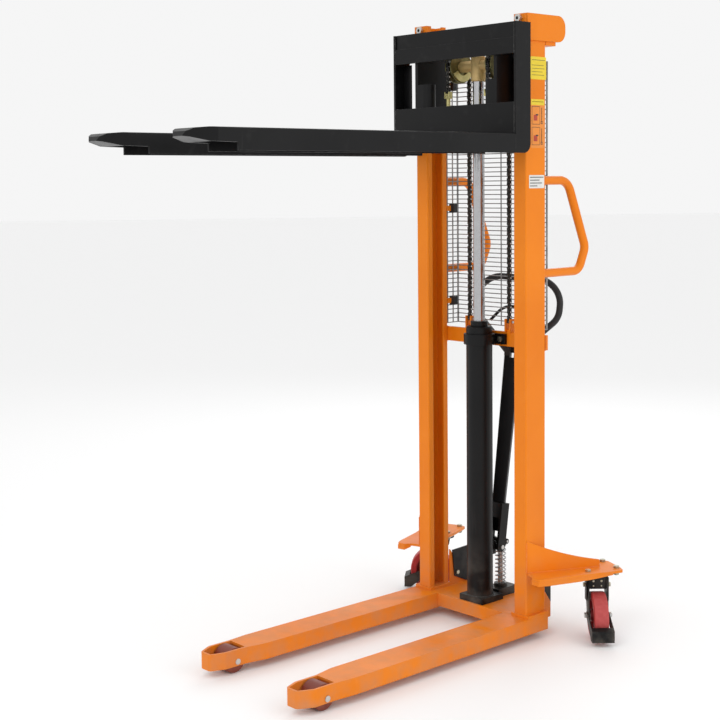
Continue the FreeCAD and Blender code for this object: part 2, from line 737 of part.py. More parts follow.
def castor_fork():
    crown_top = PLATE_BOTTOM - CASTOR_TOP_THICK - RACE_HEIGHT - NEAR
    crown_low = crown_top - CROWN_THICK + NEAR
    gap = CASTOR_CHEEK_GAP / 2
    sheet = 4.0
    crown = rod(RACE_RADIUS + 3, (0, 0, crown_low), (0, 0, crown_top))
    crown = crown.common(box((-gap - sheet, gap + sheet), (-60, 60), (crown_low - 1, crown_top + 1)))
    axle_z = CASTOR_WHEEL_RADIUS
    trail = -CASTOR_TRAIL
    outline = [
        (26, crown_top),
        (-34, crown_top),
        (-50, crown_low - 26),
        (trail - 16, axle_z + 4),
        (trail - 10, axle_z - 13),
        (trail + 8, axle_z - 14),
        (trail + 18, axle_z - 2),
        (-4, crown_low - 50),
        (22, crown_low - 20),
    ]
    shape = crown
    for sign in (-1, 1):
        inner = sign * gap
        outer = sign * (gap + sheet)
        shape = shape.fuse(prism(outline, "x", min(inner, outer), max(inner, outer)))
    roof = box((-gap, gap), (-34, 20), (crown_low, crown_top))
    shape = shape.fuse(roof)
    shape = shape.cut(rod(KINGPIN_RADIUS + RUN, (0, 0, crown_low - 1), (0, 0, crown_top + 1)))
    wide = gap + sheet + 1
    return shape.cut(rod(CASTOR_AXLE_RADIUS, (-wide, trail, axle_z), (wide, trail, axle_z)))


def castor_axle():
    wide = CASTOR_CHEEK_GAP / 2 + 4.0
    z = CASTOR_WHEEL_RADIUS
    y = -CASTOR_TRAIL
    far = BRAKE_ARM_OUTER
    shaft = bolt(CASTOR_AXLE_RADIUS, 7, (-far, y, z), (far + 10, y, z), 16)
    nut = hexagon(16, (far, y, z), (far + 7, y, z))
    return shaft.fuse(nut)


BRAKE_ARM_INNER = CASTOR_CHEEK_GAP / 2 + 4.0 + NEAR
BRAKE_ARM_OUTER = BRAKE_ARM_INNER + 3.0 + NEAR


def castor_wheel():
    half = CASTOR_WHEEL_WIDTH / 2
    y = -CASTOR_TRAIL
    z = CASTOR_WHEEL_RADIUS
    body = rod(CASTOR_WHEEL_RADIUS - 12, (-half, y, z), (half, y, z))
    dish = ring(CASTOR_WHEEL_RADIUS - 22, 20, (0, y, z), (half, y, z))
    cut_out = dish.copy()
    cut_out.translate(Vector(9, 0, 0))
    body = body.cut(cut_out)
    cut_out = dish.copy()
    cut_out.translate(Vector(-9 - half, 0, 0))
    body = body.cut(cut_out)
    hub = rod(16, (-half - 2, y, z), (half + 2, y, z))
    body = body.fuse(hub)
    return body.cut(rod(CASTOR_AXLE_RADIUS + RUN, (-half - 9, y, z), (half + 9, y, z)))


def castor_tread():
    half = CASTOR_WHEEL_WIDTH / 2
    y = -CASTOR_TRAIL
    z = CASTOR_WHEEL_RADIUS
    tread = rod(CASTOR_WHEEL_RADIUS, (-half, y, z), (half, y, z))
    tread = tread.makeFillet(5, [e for e in tread.Edges if e.Closed])
    return tread.cut(rod(CASTOR_WHEEL_RADIUS - 12, (-half - 1, y, z), (half + 1, y, z)))


def castor_spacers():
    """Bushes between the wheel's hub and the fork cheeks."""
    start = CASTOR_WHEEL_WIDTH / 2 + 2 + NEAR
    end = CASTOR_CHEEK_GAP / 2
    y = -CASTOR_TRAIL
    z = CASTOR_WHEEL_RADIUS
    made = []
    for sign in (-1, 1):
        made.append(ring(10, CASTOR_AXLE_RADIUS, (sign * start, y, z), (sign * end, y, z)))
    return made


def brake_pedal():
    """Foot pedal on the trailing side, on two arms that turn on the wheel's axle."""
    y = -CASTOR_TRAIL
    z = CASTOR_WHEEL_RADIUS
    reach = CASTOR_WHEEL_RADIUS
    outline = [
        (y + 11, z - 6),
        (y + 8, z + 10),
        (y - 8, z + 12),
        (y - reach - 3, z - 16),
        (y - reach - 22, z - 24),
        (y - reach - 22, z - 60),
        (y - reach + 2, z - 60),
        (y - 40, z - 34),
    ]
    arms = None
    for sign in (-1, 1):
        inner = sign * BRAKE_ARM_INNER
        outer = sign * (BRAKE_ARM_OUTER - NEAR)
        arm = prism(outline, "x", min(inner, outer), max(inner, outer))
        arms = arm if arms is None else arms.fuse(arm)
    half = BRAKE_ARM_OUTER - NEAR
    pad = prism(
        [
            (y - reach - 4, z - 17),
            (y - reach - 22, z - 24),
            (y - reach - 22, z - 60),
            (y - reach - 4, z - 60),
        ],
        "x",
        -half,
        half,
    )
    shape = arms.fuse(pad)
    return shape.cut(rod(CASTOR_AXLE_RADIUS + RUN, (-half - 1, y, z), (half + 1, y, z)))


# ---- ram and chain hoist ------------------------------------------------------------------------
def base_pad():
    return box((-PAD_HALF, PAD_HALF), (RAM_Y - PAD_HALF + 6, RAM_Y + PAD_HALF + 6), (LEG_TOP, PAD_TOP))


def barrel():
    shape = rod(BARREL_RADIUS, (0, RAM_Y, PAD_TOP), (0, RAM_Y, BARREL_TOP))
    shape = shape.makeChamfer(4, [e for e in shape.Edges if e.Closed and e.CenterOfMass.z > BARREL_TOP - 1])
    return shape.cut(rod(BARREL_BORE, (0, RAM_Y, PAD_TOP + 14), (0, RAM_Y, BARREL_TOP - 12))).cut(
        rod(GLAND_RADIUS - 4, (0, RAM_Y, BARREL_TOP - 20), (0, RAM_Y, BARREL_TOP + 1))
    )


def gland():
    low = BARREL_TOP
    shape = ring(GLAND_RADIUS, ROD_RADIUS + RUN, (0, RAM_Y, low), (0, RAM_Y, low + GLAND_HEIGHT))
    neck = ring(GLAND_RADIUS - 4, ROD_RADIUS + RUN, (0, RAM_Y, low - 12), (0, RAM_Y, low))
    return shape.fuse(neck)


def ram_rod():
    shape = rod(ROD_RADIUS, (0, RAM_Y, PISTON_LOW), (0, RAM_Y, ROD_TOP))
    return shape.fuse(rod(BARREL_BORE - RUN, (0, RAM_Y, PISTON_LOW), (0, RAM_Y, PISTON_LOW + 30)))


PISTON_LOW = PAD_TOP + 14 + LIFT_STROKE + 2
SCREW_Z = 857.0


def bleed_screw():
    """Hex screw on the front of the barrel."""
    front = RAM_Y - BARREL_RADIUS
    return bolt(4, 6, (0, front, SCREW_Z), (0, front + 6.5, SCREW_Z), 12)


def crosshead():
    top = ROD_TOP + HEAD_HEIGHT
    shape = rod(HEAD_RADIUS, (0, RAM_Y, ROD_TOP), (0, RAM_Y, top))
    shape = shape.makeChamfer(3, [e for e in shape.Edges if e.Closed])
    hub_end = CHAIN_WHEEL_X - CHAIN_WIDTH / 2 - 6 - SIDE
    boss = rod(18, (-hub_end, RAM_Y, CHAIN_WHEEL_Z), (hub_end, RAM_Y, CHAIN_WHEEL_Z))
    shape = shape.fuse(boss)
    far = hub_end + 30
    return shape.cut(rod(WHEEL_AXLE_RADIUS, (-far, RAM_Y, CHAIN_WHEEL_Z), (far, RAM_Y, CHAIN_WHEEL_Z)))


def wheel_axle():
    end = CHAIN_WHEEL_X + CHAIN_WIDTH / 2 + 6 + 10
    shaft = rod(WHEEL_AXLE_RADIUS, (-end, RAM_Y, CHAIN_WHEEL_Z), (end, RAM_Y, CHAIN_WHEEL_Z))
    made = shaft
    for sign in (-1, 1):
        start = CHAIN_WHEEL_X + CHAIN_WIDTH / 2 + 6 + SIDE
        collar = rod(
            WHEEL_AXLE_RADIUS + 6,
            (sign * start, RAM_Y, CHAIN_WHEEL_Z),
            (sign * (start + 5), RAM_Y, CHAIN_WHEEL_Z),
        )
        made = made.fuse(collar)
    return made


def chain_wheel():
    """Grooved wheel that the leaf chain runs over."""
    half = CHAIN_WIDTH / 2 + 6
    x = CHAIN_WHEEL_X
    z = CHAIN_WHEEL_Z
    body = rod(WHEEL_FLANGE, (x - half, RAM_Y, z), (x + half, RAM_Y, z))
    groove_half = CHAIN_WIDTH / 2 + 1
    seat = CHAIN_LINE_RADIUS - CHAIN_DEPTH / 2 - NEAR
    groove = ring(WHEEL_FLANGE + 9, seat, (x - groove_half, RAM_Y, z), (x + groove_half, RAM_Y, z))
    body = body.cut(groove)
    return body.cut(rod(WHEEL_AXLE_RADIUS + RUN, (x - half - 1, RAM_Y, z), (x + half + 1, RAM_Y, z)))


def chain_bar(y, low, high):
    """One straight chain strand, as a bar with the plates' waisted outline."""
    x = CHAIN_WHEEL_X
    half = CHAIN_WIDTH / 2
    depth = CHAIN_DEPTH / 2
    bar = box((x - half, x + half), (y - depth, y + depth), (low, high))
    return bar.cut(rod(CHAIN_PIN_RADIUS + RUN, *chain_pin_ends()))


def chain_wrap():
    """The half turn of chain over its wheel."""
    x = CHAIN_WHEEL_X
    half = CHAIN_WIDTH / 2
    outer = CHAIN_LINE_RADIUS + CHAIN_DEPTH / 2
    inner = CHAIN_LINE_RADIUS - CHAIN_DEPTH / 2
    whole = ring(outer, inner, (x - half, RAM_Y, CHAIN_WHEEL_Z), (x + half, RAM_Y, CHAIN_WHEEL_Z))
    upper = box((x - 99, x + 99), (RAM_Y - 99, RAM_Y + 99), (CHAIN_WHEEL_Z, CHAIN_WHEEL_Z + 99))
    return whole.common(upper)


# ---- carriage -----------------------------------------------------------------------------------
def cheek():
    """Side plate of the carriage, flush with the fork's outer skirt."""
    round_off = 30
    outline = [
        (CARRIAGE_FRONT, CARRIAGE_TOP),
        (CHEEK_REAR, CARRIAGE_TOP),
        (CHEEK_REAR, FORK_BOTTOM),
        (CARRIAGE_FRONT, FORK_BOTTOM),
    ]
    shape = prism(outline, "x", CHEEK_INNER, FORK_OUTER)
    corner = []
    for edge in shape.Edges:
        middle = edge.CenterOfMass
        if abs(middle.y - CHEEK_REAR) < 0.01 and abs(middle.z - FORK_BOTTOM) < 0.01:
            corner.append(edge)
    return shape.makeFillet(round_off, corner)


def upper_beam():
    """Two-level beam at the carriage's head: the upper strip sits back a little."""
    x = (-CHEEK_INNER, CHEEK_INNER)
    lower = box(x, (CARRIAGE_FRONT, BEAM_BACK), UPPER_BEAM)
    upper = box(x, (CARRIAGE_FRONT + 4, BEAM_BACK), (UPPER_BEAM[1], CARRIAGE_TOP))
    cap = box(x, (BEAM_BACK, BEAM_BACK + 26), (CARRIAGE_TOP - 8, CARRIAGE_TOP))
    return lower.fuse(upper).fuse(cap)


def lower_beam():
    """Beam across the heels of the forks, with the chain anchor shelves behind it."""
    shape = box((-CHEEK_INNER, CHEEK_INNER), (CARRIAGE_FRONT, BEAM_BACK), LOWER_BEAM)
    for _, sign in SIDES:
        x = sign * CHAIN_WHEEL_X
        shelf = box((x - 16, x + 16), (BEAM_BACK, FRONT_STRAND_Y + 14), (ANCHOR_SEAT - 12, ANCHOR_SEAT))
        shape = shape.fuse(shelf)
        shape = shape.cut(rod(
            ANCHOR_RADIUS + 0.3,
            (x, FRONT_STRAND_Y, ANCHOR_SEAT - 20),
            (x, FRONT_STRAND_Y, ANCHOR_SEAT + 9),
        ))
    return shape


ANCHOR_SEAT = 1690.0
ANCHOR_RADIUS = 7.0


def anchor_bolt():
    """Threaded rod with nuts that holds and tensions one chain's front end."""
    x = CHAIN_WHEEL_X
    y = FRONT_STRAND_Y
    shank = rod(ANCHOR_RADIUS, (x, y, ANCHOR_SEAT - 30), (x, y, ANCHOR_TOP - 12))
    upper = hexagon(22, (x, y, ANCHOR_SEAT), (x, y, ANCHOR_SEAT + 9))
    lower = hexagon(22, (x, y, ANCHOR_SEAT - 21), (x, y, ANCHOR_SEAT - 12))
    fork = box((x - CHAIN_WIDTH / 2 - 4, x + CHAIN_WIDTH / 2 + 4), (y - 8, y + 8), (ANCHOR_TOP - 22, ANCHOR_TOP))
    slot = box(
        (x - CHAIN_WIDTH / 2 - NEAR, x + CHAIN_WIDTH / 2 + NEAR),
        (y - 9, y + 9),
        (ANCHOR_TOP - 14, ANCHOR_TOP + 1),
    )
    shape = shank.fuse(upper).fuse(lower).fuse(fork)
    return shape.cut(slot)


def bracket():
    """Fore-and-aft web behind the beams that carries the two guide rollers of one side."""
    x = (BRACKET_INNER, BRACKET_INNER + BRACKET_THICK)
    rear = CHANNEL_MID + 24
    outline = [
        (BEAM_BACK, BRACKET_BOTTOM),
        (rear, BRACKET_BOTTOM),
        (rear, BRACKET_TOP),
        (BEAM_BACK + 26 + NEAR, BRACKET_TOP),
        (BEAM_BACK + 26 + NEAR, CARRIAGE_TOP - 8 - NEAR),
        (BEAM_BACK, CARRIAGE_TOP - 8 - NEAR),
    ]
    shape = prism(outline, "x", x[0], x[1])
    round_edges = []
    for edge in shape.Edges:
        middle = edge.CenterOfMass
        if abs(middle.y - rear) < 0.01 and abs(edge.Length - BRACKET_THICK) < 0.01:
            round_edges.append(edge)
    return shape.makeFillet(20, round_edges)


def brace():
    """Round-backed stiffener on the inner face of the bracket, behind the lower beam."""
    y = BEAM_BACK + BRACE_RADIUS
    x = BRACKET_INNER - BRACE_RADIUS
    post = rod(BRACE_RADIUS, (x, y, BRACKET_BOTTOM + 6), (x, y, BRACE_TOP))
    fill = box((x, BRACKET_INNER), (y - BRACE_RADIUS, y + BRACE_RADIUS), (BRACKET_BOTTOM + 6, BRACE_TOP))
    return post.fuse(fill)


BRACE_TOP = 1782.0


def roller_middle():
    return (CHANNEL_INNER + MAST_HALF_WIDTH) / 2


def guide_axle(z):
    x = BRACKET_INNER + BRACKET_THICK
    end = roller_middle() + GUIDE_ROLLER_WIDTH / 2 - 2
    stub = rod(GUIDE_AXLE_RADIUS, (x, CHANNEL_MID, z), (end, CHANNEL_MID, z))
    shoulder = rod(18, (x, CHANNEL_MID, z), (roller_middle() - GUIDE_ROLLER_WIDTH / 2 - NEAR, CHANNEL_MID, z))
    return stub.fuse(shoulder)


def guide_roller(z):
    middle = roller_middle()
    half = GUIDE_ROLLER_WIDTH / 2
    body = rod(GUIDE_ROLLER_RADIUS, (middle - half, CHANNEL_MID, z), (middle + half, CHANNEL_MID, z))
    body = body.makeChamfer(2, [e for e in body.Edges if e.Closed])
    return body.cut(rod(GUIDE_AXLE_RADIUS + RUN, (middle - half - 1, CHANNEL_MID, z), (middle + half + 1, CHANNEL_MID, z)))


TONGUE_REACH = 58.0


def fork():
    """Formed fork: inverted channel with full skirts, and a shallow rounded nose."""
    rear = CARRIAGE_FRONT
    body = box((FORK_INNER, FORK_OUTER), (SKIRT_FRONT, rear), (FORK_BOTTOM, FORK_TOP))
    hollow = box(
        (FORK_INNER + FORK_SHEET, FORK_OUTER - FORK_SHEET),
        (SKIRT_FRONT - 1, rear + 1),
        (FORK_BOTTOM - 1, FORK_TOP - FORK_SHEET),
    )
    tongue = box((FORK_INNER, CHEEK_INNER), (rear - 1, rear + TONGUE_REACH), (FORK_TOP - FORK_SHEET, BEAM_SEAT))
    body = body.cut(hollow).fuse(tongue)
    middle = (FORK_INNER + FORK_OUTER) / 2
    tip = -FORK_REACH
    plan = [
        (FORK_INNER, SKIRT_FRONT),
        (FORK_INNER, SKIRT_FRONT - 62),
        (middle - NOSE_TIP_WIDTH / 2, tip + 12),
        (middle - NOSE_TIP_WIDTH / 2 + 18, tip),
        (middle + NOSE_TIP_WIDTH / 2 - 18, tip),
        (middle + NOSE_TIP_WIDTH / 2, tip + 12),
        (FORK_OUTER, SKIRT_FRONT - 62),
        (FORK_OUTER, SKIRT_FRONT),
    ]
    profile = [
        (SKIRT_FRONT, FORK_TOP),
        (tip + 58, FORK_TOP),
        (tip + 22, FORK_TOP - 3),
        (tip + 6, FORK_TOP - 11),
        (tip, FORK_TOP - 23),
        (tip + 60, FORK_TOP - NOSE_DEPTH + 2),
        (SKIRT_FRONT, FORK_TOP - NOSE_DEPTH),
    ]
    nose = prism(plan, "z", FORK_TOP - NOSE_DEPTH - 1, FORK_TOP + 1)
    nose = nose.common(prism(profile, "x", FORK_INNER - 1, FORK_OUTER + 1))
    pocket = box(
        (FORK_INNER + 12, FORK_OUTER - 12),
        (SKIRT_FRONT - 70, SKIRT_FRONT + 1),
        (FORK_TOP - NOSE_DEPTH - 2, FORK_TOP - FORK_SHEET),
    )
    shape = body.fuse(nose.cut(pocket)).removeSplitter()
    soft = []
    for edge in shape.Edges:
        middle_point = edge.CenterOfMass
        on_top = abs(middle_point.z - FORK_TOP) < 0.01
        on_side = abs(middle_point.x - FORK_INNER) < 0.01 or abs(middle_point.x - FORK_OUTER) < 0.01
        if on_top and on_side and edge.Length > FORK_REACH / 2:
            soft.append(edge)
    return shape.makeFillet(0.8 * FORK_SHEET, soft)


# ---- pump and tiller ----------------------------------------------------------------------------
def pump_block():
    low = LEG_TOP
    front = RAM_Y + PAD_HALF + 6
    block = box((-30, 30), (front, BASE_REAR + 12), (low, PUMP_BLOCK_TOP))
    block = block.makeFillet(5, [e for e in block.Edges if abs(e.Length - (PUMP_BLOCK_TOP - low)) < 0.01])
    boss_top = PUMP_BLOCK_TOP + PUMP_BOSS_HEIGHT
    boss = rod(22, (0, PUMP_Y, PUMP_BLOCK_TOP), (0, PUMP_Y, boss_top))
    shape = block.fuse(boss)
    return shape.cut(rod(PLUNGER_RADIUS + RUN, (0, PUMP_Y, low + 3), (0, PUMP_Y, boss_top + 1)))


def plunger():
    low = PUMP_BLOCK_TOP - 23 + PUMP_STROKE
    shaft = rod(PLUNGER_RADIUS, (0, PUMP_Y, low), (0, PUMP_Y, PLUNGER_TOP))
    return shaft.fuse(rod(SPRING_RADIUS + 0.5, (0, PUMP_Y, PLUNGER_TOP - CAP_THICK), (0, PUMP_Y, PLUNGER_TOP)))


def pump_spring():
    """Return spring, as the closed sleeve that its coil fills."""
    low = PUMP_BLOCK_TOP + PUMP_BOSS_HEIGHT
    return ring(SPRING_RADIUS, SPRING_RADIUS - SPRING_WIRE, (0, PUMP_Y, low), (0, PUMP_Y, PLUNGER_TOP - CAP_THICK))


BRACKET_EAR = (9.0, 17.0)
EYE_RADIUS = 10.0


def pivot_bracket():
    """Pair of lugs on the back of the barrel that carry the yoke's pin."""
    shape = None
    for sign in (-1, 1):
        x = (sign * BRACKET_EAR[0], sign * BRACKET_EAR[1])
        lug = box((min(x), max(x)), (RAM_Y + 30, PIVOT_Y), (PIVOT_Z - EYE_RADIUS, PIVOT_Z + EYE_RADIUS))
        eye = rod(EYE_RADIUS, (min(x), PIVOT_Y, PIVOT_Z), (max(x), PIVOT_Y, PIVOT_Z))
        piece = lug.fuse(eye)
        shape = piece if shape is None else shape.fuse(piece)
    back = box((-BRACKET_EAR[1], BRACKET_EAR[1]), (RAM_Y + 30, PIVOT_Y - 14), (PIVOT_Z - 22, PIVOT_Z + 22))
    shape = shape.fuse(back)
    shape = shape.cut(rod(BARREL_RADIUS, (0, RAM_Y, PIVOT_Z - 99), (0, RAM_Y, PIVOT_Z + 99)))
    return shape.cut(rod(PIVOT_RADIUS + RUN, (-99, PIVOT_Y, PIVOT_Z), (99, PIVOT_Y, PIVOT_Z)))


def tiller_place(shape, twisted):
    """Move a shape drawn upright about the pivot to the tiller's lean, and to its twist if asked."""
    placed = shape.copy()
    if twisted:
        placed.rotate(Vector(0, 0, 0), Z_AXIS, TILLER_TWIST)
    placed.rotate(Vector(0, 0, 0), X_AXIS, -TILLER_LEAN)
    placed.translate(Vector(0, PIVOT_Y, PIVOT_Z))
    return placed


def press_roller_spot():
    """Press roller's centre in the tiller's upright drawing, as (y, height)."""
    lean = math.radians(TILLER_LEAN)
    y = PRESS_ROLLER[0] - PIVOT_Y
    z = PRESS_ROLLER[1] - PIVOT_Z
    return (y * math.cos(lean) - z * math.sin(lean), y * math.sin(lean) + z * math.cos(lean))


def yoke():
    """Two cheeks on the pivot pin, joined above by the socket that holds the tiller's spigot."""
    spot = press_roller_spot()
    inner = YOKE_HALF - YOKE_CHEEK
    shape = None
    for sign in (-1, 1):
        x = sorted((sign * inner, sign * YOKE_HALF))
        blade = prism([(-17, 0), (19, 0), (19, YOKE_TOP), (-17, YOKE_TOP)], "x", *x)
        eye = rod(17, (x[0], 0, 0), (x[1], 0, 0))
        toe = rod(PRESS_ROLLER_RADIUS - 1, (x[0], *spot), (x[1], *spot))
        arm = prism([(0, -8), (spot[0] - 1, spot[1] - 8), (spot[0] + 6, spot[1] + 7), (12, 12)], "x", *x)
        piece = blade.fuse(eye).fuse(toe).fuse(arm)
        shape = piece if shape is None else shape.fuse(piece)
    shape = shape.fuse(box((-inner, inner), (-17, 19), (YOKE_TOP - 50, YOKE_TOP)))
    shape = shape.cut(rod(SPIGOT_RADIUS + RUN, (0, 0, YOKE_TOP - 44), (0, 0, YOKE_TOP + 1)))
    shape = shape.cut(rod(PIVOT_RADIUS, (-99, 0, 0), (99, 0, 0)))
    shape = shape.cut(rod(PRESS_PIN_RADIUS, (-99, *spot), (99, *spot)))
    shape = shape.cut(rod(YOKE_BOLT_RADIUS, (0, 0, YOKE_TOP - 24), (0, 25, YOKE_TOP - 24)))
    return tiller_place(shape, False)


PRESS_PIN_RADIUS = 4.0
YOKE_BOLT_RADIUS = 5.0


def yoke_pin():
    reach = YOKE_HALF + 6
    return rod(PIVOT_RADIUS, (-reach, PIVOT_Y, PIVOT_Z), (reach, PIVOT_Y, PIVOT_Z))


def press_roller():
    """Roller between the yoke's cheeks that pushes the plunger down, with its pin."""
    half = YOKE_HALF - YOKE_CHEEK - SIDE
    roll = rod(PRESS_ROLLER_RADIUS, (-half, *PRESS_ROLLER), (half, *PRESS_ROLLER))
    reach = YOKE_HALF + 2
    pin = rod(PRESS_PIN_RADIUS, (-reach, *PRESS_ROLLER), (reach, *PRESS_ROLLER))
    return roll.fuse(pin)


def yoke_bolt():
    """Clamping bolt on the back of the yoke's socket."""
    z = YOKE_TOP - 24
    shape = bolt(YOKE_BOLT_RADIUS, 8, (0, 19, z), (0, SPIGOT_RADIUS + 1, z), 16)
    return tiller_place(shape, False)


def tiller_shaft():
    """Tapered flat bar that widens upwards, with a round spigot below."""
    low = YOKE_TOP + NEAR
    narrow = TILLER_WIDTH[0] / 2
    wide = TILLER_WIDTH[1] / 2
    outline = [(-narrow, low), (narrow, low), (wide, TILLER_TOP), (-wide, TILLER_TOP)]
    shape = prism(outline, "y", -TILLER_DEPTH / 2, TILLER_DEPTH / 2)
    long_edges = [e for e in shape.Edges if e.Length > TILLER_TOP - low - 1]
    shape = shape.makeFillet(4, long_edges)
    shape = shape.fuse(rod(SPIGOT_RADIUS, (0, 0, YOKE_TOP - 42), (0, 0, low + 1)))
    slot = box((-7, 7), (-TILLER_DEPTH, TILLER_DEPTH), (TILLER_TOP - 6, TILLER_TOP + 1))
    return tiller_place(shape.cut(slot), True)


def grip_loop():
    """Closed hand loop: rounded triangle that narrows down to the top of the shaft."""
    low = TILLER_TOP + GRIP_RADIUS - 2
    half = GRIP_HALF
    side_low = TILLER_TOP + 140
    right = [
        (14, 0, low),
        (half, 0, side_low),
        (half, 0, GRIP_TOP),
        (0, 0, GRIP_TOP),
    ]
    limb = tube(right, (66, 84), GRIP_RADIUS)
    other = limb.mirror(Vector(0, 0, 0), X_AXIS)
    neck = box((-TILLER_WIDTH[1] / 2, TILLER_WIDTH[1] / 2), (-TILLER_DEPTH / 2, TILLER_DEPTH / 2), (TILLER_TOP, TILLER_TOP + 34))
    slot = box((-LEVER_THICK, LEVER_THICK), (-50, 50), (TILLER_TOP - 1, TILLER_TOP + 50))
    shape = limb.fuse(other).fuse(neck).cut(slot)
    pin = rod(LEVER_PIN_RADIUS, (-99, 0, LEVER_PIVOT - 10), (99, 0, LEVER_PIVOT - 10))
    return tiller_place(shape.cut(pin), True)


LEVER_THICK = 7.0
LEVER_PIN_RADIUS = 3.0


def lever_pin():
    reach = TILLER_WIDTH[1] / 2 + 1
    shape = rod(LEVER_PIN_RADIUS, (-reach, 0, LEVER_PIVOT - 10), (reach, 0, LEVER_PIVOT - 10))
    return tiller_place(shape, True)


def release_lever():
    """Finger lever in the loop: a stem with a drooping bow across it."""
    z = LEVER_PIVOT - 10
    half = LEVER_THICK - SIDE
    stem = box((-half, half), (-5, 5), (z - 8, LEVER_BOW))
    eye = rod(8, (-half, 0, z), (half, 0, z))
    bow_points = [(-89, 0, LEVER_BOW - 52), (-46, 0, LEVER_BOW), (46, 0, LEVER_BOW), (89, 0, LEVER_BOW - 52)]
    bow = tube(bow_points, (60, 60), 5)
    shape = stem.fuse(eye).fuse(bow)
    return tiller_place(shape.cut(rod(LEVER_PIN_RADIUS + RUN, (-9, 0, z), (9, 0, z))), True)


def release_rod():
    """Thin rod behind the shaft that links the finger lever with the pump's valve."""
    y = TILLER_DEPTH / 2 + 3
    points = [
        (10, y, YOKE_TOP + 22),
        (10, y + 26, YOKE_TOP + 90),
        (10, y + 26, YOKE_TOP + 250),
        (10, y, YOKE_TOP + 380),
    ]
    return tiller_place(tube(points, (60, 90), 3), True)


def rod_clips():
    """Two small saddles that hold the rod's ends to the shaft."""
    y = TILLER_DEPTH / 2
    made = []
    for z in (YOKE_TOP + 22, YOKE_TOP + 380):
        block = box((4, 16), (y, y + 7), (z - 5, z + 5))
        made.append(tiller_place(block.cut(tiller_line(release_rod())), True))
    return made


def tiller_line(shape):
    """Undo tiller_place for a twisted shape."""
    placed = shape.copy()
    placed.translate(Vector(0, -PIVOT_Y, -PIVOT_Z))
    placed.rotate(Vector(0, 0, 0), X_AXIS, TILLER_LEAN)
    placed.rotate(Vector(0, 0, 0), Z_AXIS, -TILLER_TWIST)
    return placed


# ---- push handles and guard ---------------------------------------------------------------------
def push_handle():
    """D-shaped tube welded to the back of the channel."""
    low, high = HANDLE_Z
    x = HANDLE_X
    start = CHANNEL_REAR
    bend = 42
    rise = Vector(0, -92, high - low - 76).normalize()
    fall = Vector(0, -34, -76).normalize()
    half = rise.getAngle(fall) / 2
    middle = (rise + fall).normalize()
    out = HANDLE_REACH - HANDLE_TUBE - bend - middle.y * bend / math.sin(half)
    points = [
        (x, start, high),
        (x, out - 92, high),
        (x, out, low + 76),
        (x, out - 34, low),
        (x, start, low),
    ]
    return tube(points, (56, bend, 40), HANDLE_TUBE)


def mesh(width, uprights):
    """Flat welded mesh from 0 to width and from the guard's bottom up, as (x, z), along +Y."""
    rows = int((GUARD_TOP - GUARD_BOTTOM) / GUARD_PITCH)
    top = GUARD_BOTTOM + rows * GUARD_PITCH + GUARD_WIRE
    sheet = Part.Face(Part.makePolygon([
        Vector(0, 0, GUARD_BOTTOM),
        Vector(width, 0, GUARD_BOTTOM),
        Vector(width, 0, top),
        Vector(0, 0, top),
        Vector(0, 0, GUARD_BOTTOM),
    ]))
    bays = []
    for row in range(rows):
        low = GUARD_BOTTOM + row * GUARD_PITCH + GUARD_WIRE
        high = low + GUARD_PITCH - GUARD_WIRE
        for left, right in zip(uprights, uprights[1:]):
            bays.append(box((left + GUARD_WIRE, right), (0, GUARD_WIRE), (low, high)))
    return sheet.extrude(Vector(0, GUARD_WIRE, 0)).cut(Part.makeCompound(bays))


def guard_rear():
    """Rear panel of the mesh guard."""
    width = 2 * GUARD_HALF
    panel = mesh(width, [0, width / 2 - GUARD_WIRE / 2, width - GUARD_WIRE])
    panel.translate(Vector(-GUARD_HALF, GUARD_Y - GUARD_WIRE / 2, 0))
    return panel


def guard_side():
    """One side return of the guard, from the rear panel forward to the channel."""
    width = GUARD_Y - GUARD_WIRE / 2 - GUARD_FRONT
    panel = mesh(width, [0, width / 2, width - GUARD_WIRE])
    panel = turned(panel, 90, (0, 0, 0))
    panel.translate(Vector(GUARD_HALF, GUARD_FRONT, 0))
    return panel


TAB_THICK = 5.0


def guard_tab(z):
    """Flat tab on the back of the channel that carries the mesh."""
    outer = GUARD_HALF - GUARD_WIRE
    return box((outer - TAB_THICK, outer), (CHANNEL_REAR, GUARD_Y - 12), (z - 9, z + 9))


def guard_clip(z):
    """Clip at the tab's end that grips the upright wire."""
    outer = GUARD_HALF - GUARD_WIRE - TAB_THICK
    y = GUARD_Y - 30
    block = box((outer - 10, outer), (y - 9, y + 9), (z - 14, z + 14))
    return block


# ---- write every sub-part -----------------------------------------------------------------------
def both(shape):
    """The right-hand shape and its mirror image."""
    return [side(shape, sign) for _, sign in SIDES]


os.makedirs("parts", exist_ok=True)

for label, sign in SIDES:
    save("mast_channel_" + label, *[side(wall, sign) for wall in [*mast_channel(), foot_plate()]])
    save("leg_" + label, side(leg(), sign))
    save("load_roller_" + label, side(load_roller(), sign))
    save("outrigger_" + label, side(outrigger_plate().fuse(outrigger_web()), sign))
    save("push_handle_" + label, side(push_handle(), sign))
    save("chain_wheel_" + label, side(chain_wheel(), sign))
    save("fork_" + label, side(fork(), sign))
    save("castor_fork_" + label, castor_local(castor_fork(), sign))
    save("castor_wheel_" + label, castor_local(castor_wheel(), sign), castor_local(castor_tread(), sign))
    bushes = [castor_local(bush, sign) for bush in castor_spacers()]
    save("castor_axle_" + label, castor_local(castor_axle(), sign), *bushes)
    save("castor_brake_" + label, castor_local(brake_pedal(), sign))

